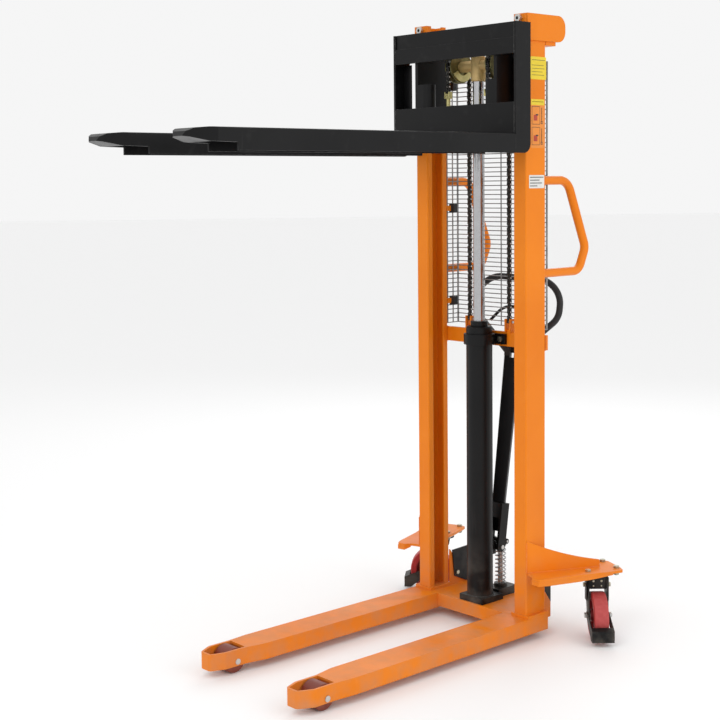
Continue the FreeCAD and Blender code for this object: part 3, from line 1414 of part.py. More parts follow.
save("top_crossbeam", top_crossbeam())
save("stop_bolts", *stop_bolts())
save("mid_crossbeam", mid_crossbeam().fuse(both(chain_lug())[0]).fuse(chain_lug()))
save("chain_pins", *both(rod(CHAIN_PIN_RADIUS, *chain_pin_ends())))
save("cylinder_clamp", cylinder_clamp())
save("frame_bolts", *clamp_bolts(), *both(foot_guard_bolt()))
save("load_axles", *[piece for part in [load_axle(), *roller_spacer()] for piece in both(part)])
save("base_crossbeam", base_crossbeam().fuse(gusset()).fuse(side(gusset(), -1)))
save("foot_guards", *both(foot_guard()))
save("castor_plates", *both(castor_plate()))
save("castor_bolts", *castor_bolts())
save("cylinder_barrel", barrel().fuse(base_pad()).fuse(pivot_bracket()))
save("cylinder_gland", gland())
save("ram_rod", ram_rod())
save("crosshead", crosshead())
save("chain_wheel_axle", wheel_axle())
save("chain_rear_strands", *both(chain_bar(REAR_STRAND_Y, LUG_TOP - 10 - CHAIN_PIN_RADIUS - 4, CHAIN_WHEEL_Z)))
save("chain_front_strands", *both(chain_bar(FRONT_STRAND_Y, ANCHOR_TOP - 14, CHAIN_WHEEL_Z)))
save("chain_wraps", *both(chain_wrap()))
save("carriage_cheeks", *both(cheek()))
save("carriage_upper_beam", upper_beam())
save("carriage_lower_beam", lower_beam())
brackets = bracket().fuse(brace())
for z in GUIDE_ROLLER_Z:
    brackets = brackets.fuse(guide_axle(z))
save("carriage_brackets", *both(brackets))
save("chain_anchor_bolts", *both(anchor_bolt()))
for level, z in zip(("lower", "upper"), GUIDE_ROLLER_Z):
    save("guide_rollers_" + level, *both(guide_roller(z)))
save("pump_block", pump_block())
save("pump_plunger", plunger())
save("pump_spring", pump_spring())
save("tiller_yoke", yoke(), yoke_bolt())
save("tiller_pins", yoke_pin(), lever_pin())
save("press_roller", press_roller())
save("tiller_shaft", tiller_shaft())
save("grip_loop", grip_loop())
save("release_lever", release_lever())
save("release_rod", release_rod(), *rod_clips())
save("mesh_guard", guard_rear(), *both(guard_side()))
save("guard_tabs", *[piece for z in TAB_HEIGHTS for part in (guard_tab(z), guard_clip(z)) for piece in both(part)])
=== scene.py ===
import math

import bmesh
import bpy
from mathutils import Matrix, Vector


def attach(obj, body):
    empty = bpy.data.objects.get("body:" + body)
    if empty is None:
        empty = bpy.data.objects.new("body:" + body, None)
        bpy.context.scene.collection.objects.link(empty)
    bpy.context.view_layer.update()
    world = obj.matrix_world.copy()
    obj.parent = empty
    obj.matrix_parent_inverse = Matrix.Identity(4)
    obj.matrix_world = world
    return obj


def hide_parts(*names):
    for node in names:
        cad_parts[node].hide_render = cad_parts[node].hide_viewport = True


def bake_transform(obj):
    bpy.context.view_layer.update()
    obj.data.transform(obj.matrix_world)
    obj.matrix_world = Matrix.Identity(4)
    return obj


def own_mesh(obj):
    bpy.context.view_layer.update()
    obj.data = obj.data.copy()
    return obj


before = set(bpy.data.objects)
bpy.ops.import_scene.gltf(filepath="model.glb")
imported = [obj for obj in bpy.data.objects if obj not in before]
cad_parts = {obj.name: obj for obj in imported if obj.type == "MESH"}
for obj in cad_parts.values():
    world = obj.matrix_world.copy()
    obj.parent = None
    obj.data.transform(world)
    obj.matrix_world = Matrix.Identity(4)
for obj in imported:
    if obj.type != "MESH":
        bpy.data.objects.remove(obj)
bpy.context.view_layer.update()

SIDES = (-1, 1)               # left and right of the machine's middle plane
MAST_Y = 0.5305               # the mast's own zero line in the row frame
MAST_SIDE = 0.240             # outer face of the mast's channels

# Lift chains
WHEEL_HEIGHT = 1.838          # the chain wheels' axle, at rest
WHEEL_Y = MAST_Y - 0.012
CHAIN_X = 0.087
CHAIN_LINE = 0.05             # from the wheel's axle to the middle of the chain
CHAIN_HEIGHT = 0.0105
PLATE_THICK = 0.0018
PIN_RADIUS = 0.0027
WAIST = 0.72                  # a link plate's waist, as a share of its height
LUG_PIN_HEIGHT = 1.008        # pin that holds the chains' rear ends
REAR_LINKS = 52               # links from that pin to the wheels, at rest
STILL_LINKS = 4               # the lowest of them, which never shorten
FRONT_LINKS = 5               # links from the wheels to the carriage, at rest
WAITING_LINKS = 48            # links squashed into the thin band
WRAP_LINKS = 10               # links over the top half of a wheel
ANCHOR_TOP = 1.757
LIFT_STROKE = 0.7625
BAND = 0.003                  # the height that the waiting links are folded into

# Return spring of the pump
SPRING_FOOT = 0.112
SPRING_TOP = 0.2406
SPRING_Y = MAST_Y + 0.09
SPRING_WIRE = 0.0023
SPRING_REACH = 0.0166         # from the coil's axis to the middle of its wire
SPRING_TURNS = 9

# Carriage
CARRIAGE_FRONT = 0.3957
BEAD_X = 0.2592               # the seam between a beam's end and its cheek plate


# ---- camera

def aim_camera():
    """The camera stands in front of the forks, to the right of them."""
    turn, dip, roll = math.radians(48.62), math.radians(4.81), math.radians(-0.69)
    ahead = Vector((-math.sin(turn) * math.cos(dip), math.cos(turn) * math.cos(dip), -math.sin(dip)))
    level = Vector((math.cos(turn), math.sin(turn), 0))
    rise = level.cross(ahead)
    right = level * math.cos(roll) + rise * math.sin(roll)
    up = rise * math.cos(roll) - level * math.sin(roll)
    camera = bpy.data.objects.new("camera", bpy.data.cameras.new("camera"))
    bpy.context.collection.objects.link(camera)
    camera.data.lens = 68.503
    camera.data.sensor_width = 36.0
    camera.data.shift_x = 0.0334
    camera.data.shift_y = -0.0841
    camera.data.clip_end = 60.0
    aim = Matrix((right, up, -ahead)).transposed().to_4x4()
    camera.matrix_world = Matrix.Translation((3.0478, -2.7922, 1.4622)) @ aim
    bpy.context.scene.camera = camera


aim_camera()


# ---- materials

class Value:
    """A shader socket that takes part in sums."""

    def __init__(self, finish, socket):
        self.finish = finish
        self.socket = socket

    def __add__(self, other):
        return self.finish.math("ADD", self, other)

    def __sub__(self, other):
        return self.finish.math("SUBTRACT", self, other)

    def __mul__(self, other):
        return self.finish.math("MULTIPLY", self, other)

    def __rsub__(self, other):
        return self.finish.math("SUBTRACT", other, self)

    __radd__ = __add__
    __rmul__ = __mul__


class Finish:
    """A material and the calls that lay out its nodes."""

    def __init__(self, name, **fixed):
        self.material = bpy.data.materials.new(name)
        self.material.use_nodes = True
        self.tree = self.material.node_tree
        self.shader = self.tree.nodes["Principled BSDF"]
        self.place = self.node("ShaderNodeTexCoord", out="Object")
        self.set(**fixed)

    def set(self, **values):
        for name, value in values.items():
            self.put(self.shader.inputs[name.replace("_", " ")], value)

    def put(self, socket, value):
        if isinstance(value, Value):
            self.tree.links.new(value.socket, socket)
        else:
            socket.default_value = value

    def node(self, kind, settings=None, values=None, out=0):
        made = self.tree.nodes.new(kind)
        for name, setting in (settings or {}).items():
            setattr(made, name, setting)
        for name, value in (values or {}).items():
            self.put(made.inputs[name], value)
        return Value(self, made.outputs[out])

    def math(self, operation, *values):
        return self.node("ShaderNodeMath", {"operation": operation}, dict(enumerate(values)))

    def vector(self, operation, *values, out=0):
        return self.node("ShaderNodeVectorMath", {"operation": operation}, dict(enumerate(values)), out)

    def mix(self, share, first, second, blend="MIX"):
        settings = {"data_type": "RGBA", "blend_type": blend}
        return self.node("ShaderNodeMix", settings, {0: share, 6: first, 7: second}, 2)

    def span(self, value, low, high, first=0.0, last=1.0):
        """value from low to high, stretched to first to last and held there beyond them."""
        ends = {0: value, 1: low, 2: high, 3: first, 4: last}
        return self.node("ShaderNodeMapRange", {"clamp": True}, ends)

    def noise(self, scale, detail=2.0, stretch=(1.0, 1.0, 1.0)):
        place = self.place
        if stretch != (1.0, 1.0, 1.0):
            place = self.node("ShaderNodeMapping", {}, {"Vector": place, "Scale": stretch})
        return self.node("ShaderNodeTexNoise", {}, {"Vector": place, "Scale": scale, "Detail": detail}, "Fac")

    def edges(self, radius, low=0.02, high=0.25):
        """1 on worn outer edges and 0 on flats, and the normal of the rounded edge."""
        round_edge = self.node("ShaderNodeBevel", {"samples": 4}, {"Radius": radius})
        flat = self.node("ShaderNodeNewGeometry", out="Normal")
        same = self.vector("DOT_PRODUCT", round_edge, flat, out="Value")
        return self.span(1 - same, low, high), round_edge

    def bump(self, height, strength, distance, normal=None):
        values = {"Height": height, "Strength": strength, "Distance": distance}
        if normal is not None:
            values["Normal"] = normal
        return self.node("ShaderNodeBump", {}, values)


def paint(name, colour, deep, worn, gloss, wear=0.5, dust=(0.30, 0.27, 0.23, 1)):
    """Sprayed enamel: orange peel, cloudy tone, dull patches, fine scratches, worn edges, and dust near the floor."""
    made = Finish(name, Specular_IOR_Level=0.20)
    cloud = made.noise(3.2, 4.0)
    tone = made.mix(made.span(cloud, 0.35, 0.68), deep, colour)
    scratch = made.span(made.noise(60.0, 3.0, (1.0, 1.0, 0.06)), 0.70, 0.76)
    scuff = made.span(made.noise(26.0, 6.0), 0.60, 0.72)
    edge, rounded = made.edges(0.0016)
    rub = made.span(edge * made.span(made.noise(75.0, 5.0), 0.40, 0.62), 0.25, 0.8)
    tone = made.mix(scratch * (0.20 * wear), tone, worn)
    tone = made.mix(scuff * (0.07 * wear), tone, worn)
    tone = made.mix(edge * (0.20 * wear), tone, worn)
    tone = made.mix(rub * wear, tone, worn)
    height = made.node("ShaderNodeSeparateXYZ", {}, {0: made.place}, 2)
    low = made.span(height, 0.0, 0.30, 1.0, 0.0)
    dusty = low * made.span(made.noise(14.0, 5.0), 0.38, 0.70) * 0.34
    tone = made.mix(dusty, tone, dust)
    made.set(Base_Color=tone)
    sheen = made.span(made.noise(9.0, 3.0), 0.3, 0.7, gloss - 0.05, gloss + 0.07)
    made.set(Roughness=sheen + scuff * 0.10 + dusty * 0.5)
    peel = made.noise(520.0, 1.0)
    made.set(Normal=made.bump(peel, 0.10, 0.0006, rounded))
    return made.material


def metal(name, colour, dull, rough, grain=(1.0, 1.0, 1.0), spots=0.3, metallic=1.0):
    """Bare or plated steel: a fine grain, dull spots and softer edges."""
    made = Finish(name, Metallic=metallic)
    cloud = made.span(made.noise(38.0, 5.0), 0.38, 0.66)
    fine = made.noise(420.0, 2.0, grain)
    edge, rounded = made.edges(0.0007)
    tone = made.mix(cloud * spots, colour, dull)
    tone = made.mix(edge * 0.35, tone, (0.85, 0.84, 0.80, 1))
    made.set(Base_Color=tone, Roughness=made.span(fine, 0.3, 0.7, rough - 0.06, rough + 0.08) + cloud * 0.12)
    made.set(Normal=made.bump(fine, 0.12, 0.0004, rounded))
    return made.material


def moulded(name, colour, light, rough, scale=700.0, strength=0.18):
    """Moulded plastic or polyurethane: a fine pebbled skin and lighter rubbed places."""
    made = Finish(name, Specular_IOR_Level=0.4)
    rubbed = made.span(made.noise(22.0, 4.0), 0.52, 0.72)
    edge, rounded = made.edges(0.0015)
    tone = made.mix(rubbed * 0.22, colour, light)
    tone = made.mix(edge * 0.35, tone, light)
    sheen = made.span(made.noise(60.0, 3.0), 0.3, 0.7, rough - 0.06, rough + 0.08)
    made.set(Base_Color=tone, Roughness=sheen)
    made.set(Normal=made.bump(made.noise(scale, 2.0), strength, 0.0005, rounded))
    return made.material


def wheel_skin(name, centre, axis, colour, light, core):
    """A polyurethane tyre on a cast core: the tread is scuffed paler and carries turning marks."""
    made = Finish(name, Specular_IOR_Level=0.4)
    out = made.vector("SUBTRACT", made.place, centre)
    reach = made.vector("LENGTH", made.vector("CROSS_PRODUCT", out, axis), out="Value")
    tread = made.span(reach, 0.0725, 0.0738)
    tyre = made.span(reach, 0.0560, 0.0568)
    worn = made.span(made.noise(90.0, 6.0), 0.36, 0.62)
    turning = made.math("SINE", reach * 3400.0)
    tone = made.mix(tyre, core, colour)
    tone = made.mix(tread * (0.45 + worn * 0.25), tone, light)
    tone = made.mix(made.span(made.noise(30.0, 5.0), 0.55, 0.7) * 0.10, tone, light)
    edge, rounded = made.edges(0.0018)
    made.set(Base_Color=made.mix(edge * 0.25, tone, light))
    made.set(Roughness=made.span(made.noise(70.0, 3.0), 0.3, 0.7, 0.42, 0.56) + tread * worn * 0.2)
    made.set(Normal=made.bump(made.noise(260.0, 3.0) + turning * 0.05, 0.22, 0.0007, rounded))
    return made.material


def printed(name, colour, rough=0.42):
    """Printed film: an even tone with faint grime and a slightly wavy lie."""
    made = Finish(name)
    grime = made.span(made.noise(24.0, 5.0), 0.45, 0.75)
    shade = tuple(part * 0.72 for part in colour[:3]) + (1,)
    tone = made.mix(grime * 0.35, colour, shade)
    made.set(Base_Color=tone, Roughness=made.span(grime, 0.0, 1.0, rough, rough + 0.15))
    made.set(Normal=made.bump(made.noise(60.0, 2.0), 0.08, 0.0008))
    return made.material


SOOT = (0.0060, 0.0060, 0.0064, 1)
DEEP_SOOT = (0.0035, 0.0035, 0.0038, 1)
ORANGE = paint("orange_enamel", (0.84, 0.230, 0.008, 1), (0.77, 0.195, 0.005, 1),
               (0.95, 0.50, 0.20, 1), 0.34, 0.30)
BLACK = paint("black_enamel", SOOT, DEEP_SOOT, (0.12, 0.115, 0.11, 1), 0.36, 0.35)
FORK_BLACK = paint("fork_enamel", SOOT, DEEP_SOOT, (0.17, 0.165, 0.16, 1), 0.33, 0.40)
BOLT_ZINC = metal("bolt_zinc", (0.50, 0.47, 0.36, 1), (0.30, 0.28, 0.20, 1), 0.30, spots=0.6)
# Painted shade: the chain wheels are yellow zinc, darkened here to stand for the shade under the carriage's upper
# beam.
WHEEL_ZINC_PAINTED_SHADE = metal("yellow_zinc_painted_shade", (0.22, 0.20, 0.08, 1), (0.10, 0.09, 0.035, 1), 0.40, spots=0.7, metallic=0.8)
SPRING_STEEL = metal("spring_steel", (0.46, 0.46, 0.47, 1), (0.16, 0.16, 0.16, 1), 0.26, spots=0.5)
# Painted shade: a dark steel for the flat discs that stand for the hollow of a hex socket.
SOCKET_PAINTED_SHADE = metal("painted_socket_shade", (0.03, 0.03, 0.03, 1), (0.015, 0.015, 0.015, 1), 0.5)
ZINC = metal("bright_zinc", (0.62, 0.62, 0.60, 1), (0.40, 0.40, 0.39, 1), 0.34)
YELLOW_ZINC = metal("yellow_zinc", (0.68, 0.60, 0.27, 1), (0.44, 0.42, 0.17, 1), 0.38,
                    spots=0.5, metallic=0.75)
TAN_CAST = metal("tan_casting", (0.66, 0.47, 0.20, 1), (0.46, 0.34, 0.13, 1), 0.46, spots=0.6, metallic=0.45)
CHROME = metal("hard_chrome", (0.50, 0.50, 0.51, 1), (0.36, 0.36, 0.36, 1), 0.14, (1.0, 1.0, 0.05), 0.15)
CHAIN_STEEL = metal("oiled_chain", (0.035, 0.033, 0.030, 1), (0.020, 0.018, 0.015, 1), 0.36, spots=0.6)
PIN_STEEL = metal("rubbed_pins", (0.86, 0.85, 0.82, 1), (0.48, 0.46, 0.42, 1), 0.28, spots=0.4)
ROLLER_STEEL = metal("roller_steel", (0.34, 0.34, 0.35, 1), (0.15, 0.15, 0.15, 1), 0.36, spots=0.6)
WIRE = metal("guard_wire", (0.30, 0.30, 0.30, 1), (0.14, 0.14, 0.14, 1), 0.46, spots=0.6, metallic=0.8)
GRIP = moulded("grip_rubber", (0.014, 0.014, 0.015, 1), (0.07, 0.07, 0.07, 1), 0.52)
CLIP = moulded("clip_plastic", (0.014, 0.014, 0.015, 1), (0.07, 0.07, 0.07, 1), 0.46)
NYLON = moulded("roller_nylon", (0.19, 0.035, 0.018, 1), (0.42, 0.17, 0.11, 1), 0.44, 300.0)
BEAD_ORANGE = paint("bead_orange", (0.88, 0.23, 0.02, 1), (0.70, 0.15, 0.008, 1),
                    (0.98, 0.55, 0.28, 1), 0.34, 0.4)
BEAD_BLACK = paint("bead_black", (0.030, 0.030, 0.031, 1), (0.015, 0.015, 0.015, 1),
                   (0.30, 0.29, 0.28, 1), 0.34, 0.7)
LABEL_WHITE = printed("label_white", (0.74, 0.74, 0.71, 1))
LABEL_BLACK = printed("label_black", (0.025, 0.025, 0.025, 1))
LABEL_YELLOW = printed("label_yellow", (0.80, 0.60, 0.025, 1))
LABEL_ORANGE = printed("label_orange", (0.80, 0.26, 0.03, 1))
LABEL_RED = printed("label_red", (0.45, 0.05, 0.02, 1))

# Each castor wheel's middle and the direction of its axle
CASTOR_WHEELS = {"left": (Vector((-0.372505, 0.667725, 0.075)), Vector((0.661312, -0.750111, 0))),
                 "right": (Vector((0.372505, 0.667725, 0.075)), Vector((0.661312, 0.750111, 0)))}
TYRE_RED = (0.36, 0.016, 0.018, 1)
SCUFFED_RED = (0.52, 0.10, 0.095, 1)
CORE_RED = (0.20, 0.010, 0.012, 1)
WHEEL_SKIN = {
    side: wheel_skin("castor_" + side + "_skin", centre, axis, TYRE_RED, SCUFFED_RED, CORE_RED)
    for side, (centre, axis) in CASTOR_WHEELS.items()
}

BY_SLOT = {
    "orange_paint": ORANGE, "black_paint": BLACK, "black_plastic": GRIP, "zinc_steel": ZINC,
    "chrome_rod": CHROME, "yellow_zinc": YELLOW_ZINC, "chain_steel": CHAIN_STEEL,
    "roller_steel": ROLLER_STEEL, "roller_nylon": NYLON,
}
BY_NODE = {
    "castor_wheel_left": WHEEL_SKIN["left"], "castor_wheel_right": WHEEL_SKIN["right"],
    # the chain wheels take the darkened yellow zinc, which is painted shade
    "crosshead": TAN_CAST, "chain_wheel_left": WHEEL_ZINC_PAINTED_SHADE, "chain_wheel_right": WHEEL_ZINC_PAINTED_SHADE,
    "castor_bolts": BOLT_ZINC, "frame_bolts": BOLT_ZINC, "mesh_guard": WIRE, "cylinder_gland": BLACK,
    "fork_left": FORK_BLACK, "fork_right": FORK_BLACK, "carriage_cheeks": FORK_BLACK,
    "carriage_upper_beam": FORK_BLACK, "carriage_lower_beam": FORK_BLACK,
}


def dress_nodes():
    """Every CAD node takes its finish by name, or else by its slot."""
    for name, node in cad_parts.items():
        slot = node.data.materials[0].name.split(".")[0]
        finish = BY_NODE.get(name) or BY_SLOT[slot]
        for index in range(len(node.data.materials)):
            node.data.materials[index] = finish


dress_nodes()


# ---- making pieces

ACROSS = Matrix.Rotation(math.pi / 2, 4, "Y")     # lays an upright shape along X


def piece(name, shape, body, slot, *finishes, angle=38.0):
    """A mesh piece from a bmesh, riding on a body."""
    mesh = bpy.data.meshes.new(name)
    shape.to_mesh(mesh)
    shape.free()
    for finish in finishes:
        mesh.materials.append(finish)
    mesh.shade_smooth()
    mesh.set_sharp_from_angle(angle=math.radians(angle))
    made = bpy.data.objects.new(name, mesh)
    bpy.context.collection.objects.link(made)
    if body:                      # a piece given no body rides on none
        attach(made, body)
    return made


def stamp(shape, template, place, finish=0):
    """Adds a copy of a mesh at a place."""
    before = len(shape.verts), len(shape.faces)
    shape.from_mesh(template)
    shape.verts.ensure_lookup_table()
    shape.faces.ensure_lookup_table()
    bmesh.ops.transform(shape, matrix=place, verts=shape.verts[before[0]:])
    if finish:
        for face in shape.faces[before[1]:]:
            face.material_index = finish


def as_mesh(shape, name):
    """The shape as a mesh that can be stamped many times."""
    mesh = bpy.data.meshes.new(name)
    shape.to_mesh(mesh)
    shape.free()
    return mesh


def thicken(shape, faces, by):
    """Draws faces out along X into a solid plate."""
    grown = bmesh.ops.extrude_face_region(shape, geom=faces)
    moved = [part for part in grown["geom"] if isinstance(part, bmesh.types.BMVert)]
    bmesh.ops.translate(shape, vec=(by, 0, 0), verts=moved)


def link_plate(pitch, height, thick, middle):
    """A waisted plate with round ends, in the YZ plane, its length along Z."""
    shape = bmesh.new()
    turn = Matrix.Rotation(math.pi / 2, 4, "Y") @ Matrix.Rotation(math.pi / 12, 4, "Z")
    bmesh.ops.create_circle(shape, cap_ends=True, segments=12, radius=height / 2, matrix=turn)
    for vert in shape.verts:
        vert.co.z += math.copysign(pitch / 2, vert.co.z)
    everything = shape.verts[:] + shape.edges[:] + shape.faces[:]
    bmesh.ops.bisect_plane(shape, geom=everything, plane_co=(0, 0, 0), plane_no=(0, 0, 1))
    for vert in shape.verts:
        if abs(vert.co.z) < 1e-6:
            vert.co.y *= WAIST
    thicken(shape, shape.faces[:], thick)
    bmesh.ops.translate(shape, vec=(middle - thick / 2, 0, 0), verts=shape.verts[:])
    bmesh.ops.recalc_face_normals(shape, faces=shape.faces[:])
    return as_mesh(shape, "link_plate")


def pin_mesh(radius, length):
    """A link's pin along X, its ends dished by the riveting."""
    shape = bmesh.new()
    bmesh.ops.create_cone(shape, cap_ends=True, segments=10, radius1=radius, radius2=radius,
                          depth=length, matrix=ACROSS)
    ends = [face for face in shape.faces if abs(face.normal.x) > 0.9]
    bmesh.ops.inset_individual(shape, faces=ends, thickness=radius * 0.3, depth=radius * 0.25)
    return as_mesh(shape, "link_pin")


def link_templates(pitch):
    """The plates of the two kinds of link, which take turns along a leaf chain."""
    step = PLATE_THICK + 0.0001
    wide = [link_plate(pitch, CHAIN_HEIGHT, PLATE_THICK, step * k) for k in (-3, -1, 1, 3)]
    narrow = [link_plate(pitch, CHAIN_HEIGHT, PLATE_THICK, step * k) for k in (-2, 0, 2)]
    return wide, narrow, pin_mesh(PIN_RADIUS, 7 * step)


def chain(shape, places, pitch):
    """Links at places, each a matrix that puts a link's middle and its length along Z."""
    wide, narrow, pin = link_templates(pitch)
    for count, place in enumerate(places):
        for plate in (narrow if count % 2 else wide):
            stamp(shape, plate, place)
        stamp(shape, pin, place @ Matrix.Translation((0, 0, pitch / 2)), 1)


def straight(x, y, low, count, pitch):
    """Places for links one above another."""
    return [Matrix.Translation((x, y, low + (k + 0.5) * pitch)) for k in range(count)]


def rear_chains():
    """From the mast's pins up to the wheels, in two pieces: the lowest links, and the others above them."""
    pitch = (WHEEL_HEIGHT - LUG_PIN_HEIGHT) / REAR_LINKS
    y = WHEEL_Y + CHAIN_LINE
    above = LUG_PIN_HEIGHT + STILL_LINKS * pitch
    fixed, long = bmesh.new(), bmesh.new()
    for x in (-CHAIN_X, CHAIN_X):
        chain(fixed, straight(x, y, LUG_PIN_HEIGHT, STILL_LINKS, pitch), pitch)
        chain(long, straight(x, y, above, REAR_LINKS - STILL_LINKS, pitch), pitch)
    bottom = piece("chain_rear_ends", fixed, "mast", "chain_steel", CHAIN_STEEL, PIN_STEEL)
    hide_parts("chain_rear_strands")
    rest = piece("chain_rear_links", long, "mast", "chain_steel", CHAIN_STEEL, PIN_STEEL)
    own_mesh(rest)


def front_chains():
    """The links that show at rest hang under the wheels. The others are squashed into a thin band under the wheels.
    """
    pitch = (WHEEL_HEIGHT - ANCHOR_TOP) / FRONT_LINKS
    y = WHEEL_Y - CHAIN_LINE
    end = bmesh.new()
    for x in (-CHAIN_X, CHAIN_X):
        chain(end, straight(x, y, ANCHOR_TOP, FRONT_LINKS, pitch), pitch)
    hanging = piece("chain_front_ends", end, "carriage", "chain_steel", CHAIN_STEEL, PIN_STEEL)
    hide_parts("chain_front_strands")
    waiting = bmesh.new()
    stretch = LIFT_STROKE / WAITING_LINKS
    for x in (-CHAIN_X, CHAIN_X):
        chain(waiting, straight(x, y, -LIFT_STROKE, WAITING_LINKS, stretch), stretch)
    for vert in waiting.verts:
        share = min(1.0, max(0.0, -vert.co.z / LIFT_STROKE))
        eased = 0.5 - math.sin(math.asin(1 - 2 * share) / 3)    # the inverse of smoothstep
        vert.co.z = WHEEL_HEIGHT - eased * BAND
    rest = piece("chain_front_links", waiting, None, "chain_steel", CHAIN_STEEL, PIN_STEEL)
    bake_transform(rest)


def chain_over_wheels():
    """Links round the top half of each wheel."""
    turn = math.pi / WRAP_LINKS
    pitch = 2 * CHAIN_LINE * math.sin(turn / 2)
    over = bmesh.new()
    for x in (-CHAIN_X, CHAIN_X):
        places = [
            Matrix.Translation((x, WHEEL_Y, WHEEL_HEIGHT))
            @ Matrix.Rotation(-(k + 0.5) * turn, 4, "X")
            @ Matrix.Translation((0, -CHAIN_LINE * math.cos(turn / 2), 0))
            for k in range(WRAP_LINKS)
        ]
        chain(over, places, pitch)
    wraps = piece("chain_wheel_links", over, "ram", "chain_steel", CHAIN_STEEL, PIN_STEEL)
    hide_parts("chain_wraps")


rear_chains()
front_chains()
chain_over_wheels()


def return_spring():
    """A coil of round wire between the pump block and the plunger's cap."""
    steps = SPRING_TURNS * 22
    shape = bmesh.new()
    start = Matrix.Translation((SPRING_REACH, SPRING_Y, SPRING_FOOT + SPRING_WIRE))
    bmesh.ops.create_circle(shape, cap_ends=False, segments=8, radius=SPRING_WIRE,
                            matrix=start @ Matrix.Rotation(math.pi / 2, 4, "X"))
    climb = (SPRING_TOP - SPRING_FOOT - 2 * SPRING_WIRE) / steps
    bmesh.ops.spin(shape, geom=shape.verts[:] + shape.edges[:], cent=(0, SPRING_Y, 0), axis=(0, 0, 1),
                   dvec=(0, 0, climb), angle=2 * math.pi * SPRING_TURNS, steps=steps, use_merge=False)
    bmesh.ops.holes_fill(shape, edges=[edge for edge in shape.edges if edge.is_boundary])
    bmesh.ops.recalc_face_normals(shape, faces=shape.faces[:])
    made = piece("pump_spring_coil", shape, "mast", "zinc_steel", SPRING_STEEL)
    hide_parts("pump_spring")
    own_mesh(made)


return_spring()


# ---- welds

def blob_mesh():
    """One ripple of a weld."""
    shape = bmesh.new()
    bmesh.ops.create_uvsphere(shape, u_segments=8, v_segments=5, radius=1.0)
    return as_mesh(shape, "weld_ripple")


RIPPLE = blob_mesh()
RIPPLE_STEP = 0.85            # from one ripple to the next, in radii
RIPPLE_SQUAT = 0.75           # a ripple's length along the bead, in radii


def bead(shape, start, end, radius):
    """A line of overlapping weld ripples."""
    start, end = Vector(start), Vector(end)
    run = end - start
    turn = run.to_track_quat("Z", "Y").to_matrix().to_4x4()
    count = max(2, round(run.length / (radius * RIPPLE_STEP)))
    for k in range(count + 1):
        size = radius * (1 + 0.10 * math.sin(2.4 * k) * math.cos(0.7 * k))
        squat = Matrix.Diagonal((size, size, size * RIPPLE_SQUAT, 1))
        stamp(shape, RIPPLE, Matrix.Translation(start + run * (k / count)) @ turn @ squat)


def bead_ring(shape, centre, reach, radius):
    """A ring of weld ripples round a vertical tube."""
    count = round(2 * math.pi * reach / (radius * RIPPLE_STEP))
    squat = Matrix.Diagonal((radius, radius * RIPPLE_SQUAT, radius, 1))
    for k in range(count):
        turn = Matrix.Rotation(2 * math.pi * k / count, 4, "Z")
        stamp(shape, RIPPLE, Matrix.Translation(centre) @ turn @ Matrix.Translation((reach, 0, 0)) @ squat)


def mast_welds():
    """Beads of the outrigger's web, and of the middle crossbeam's end, top edge and bottom edge."""
    shape = bmesh.new()
    for sign in SIDES:
        # each: X, Y from the mast's zero line and Z of its two ends, then the bead's radius
        for first, last, radius in (
            ((0.243, -0.050, 0.2222), (0.346, 0.170, 0.2222), 0.0022),
            ((0.2405, -0.056, 0.224), (0.2405, -0.056, 0.318), 0.0022),
            ((0.2402, 0.0365, 0.930), (0.2402, 0.0365, 0.972), 0.0020),
            ((0.190, 0.0362, 0.975), (0.238, 0.0362, 0.975), 0.0022),
            ((0.190, 0.0362, 0.927), (0.238, 0.0362, 0.927), 0.0022),
        ):
            ends = [(sign * x, MAST_Y + y, z) for x, y, z in (first, last)]
            bead(shape, *ends, radius)
    piece("mast_welds", shape, "mast", "orange_paint", BEAD_ORANGE, angle=60)


def black_welds():
    """The ring at the barrel's foot, and the beads of the carriage's beams."""
    shape = bmesh.new()
    bead_ring(shape, (0, WHEEL_Y, 0.0955), 0.0432, 0.0024)
    piece("barrel_weld", shape, "mast", "black_paint", BEAD_BLACK, angle=60)
    shape = bmesh.new()
    for sign in SIDES:
        x = sign * BEAD_X
        for low, high in ((1.614, 1.704), (1.855, 1.942)):
            bead(shape, (x, CARRIAGE_FRONT, low), (x, CARRIAGE_FRONT, high), 0.0014)
        bead(shape, (x, CARRIAGE_FRONT + 0.002, 1.706), (x, CARRIAGE_FRONT + 0.066, 1.706), 0.0016)
    piece("carriage_welds", shape, "carriage", "black_paint", BEAD_BLACK, angle=60)


mast_welds()
black_welds()


# ---- labels

LABEL_FACE = MAST_SIDE + 0.0001
FILM_THICK = 0.0002


def film(low, high, corner, marks):
    """A rounded film on the mast's right side, with printed marks a little proud of it.

    low and high are its corners in mast Y and Z. A mark is its span in Y, its span in Z and the index of its finish.
    """
    shape = bmesh.new()

    def patch(y, z, out, index, round_by):
        before = set(shape.verts)
        middle = (LABEL_FACE + out, MAST_Y + (y[0] + y[1]) / 2, (z[0] + z[1]) / 2)
        size = Matrix.Diagonal((1, y[1] - y[0], z[1] - z[0], 1))
        bmesh.ops.create_grid(shape, x_segments=1, y_segments=1, size=0.5,
                              matrix=Matrix.Translation(middle) @ size @ ACROSS)
        new = [vert for vert in shape.verts if vert not in before]
        if round_by:
            bmesh.ops.bevel(shape, geom=new, offset=round_by, segments=4, profile=0.5,
                            affect="VERTICES", material=-1)
        new = [vert for vert in shape.verts if vert not in before]
        faces = {face for vert in new for face in vert.link_faces}
        for face in faces:
            face.material_index = index
        thicken(shape, list(faces), FILM_THICK)

    patch((low[0], high[0]), (low[1], high[1]), 0, 0, corner)
    for y, z, index in marks:
        patch(y, z, FILM_THICK, index, 0)
    bmesh.ops.recalc_face_normals(shape, faces=shape.faces[:])
    return shape


def lines(left, rows, thick, index=1):
    """Marks that stand for lines of print: each row is the end of its line in Y and its height."""
    return [((left, right), (z, z + thick), index) for right, z in rows]


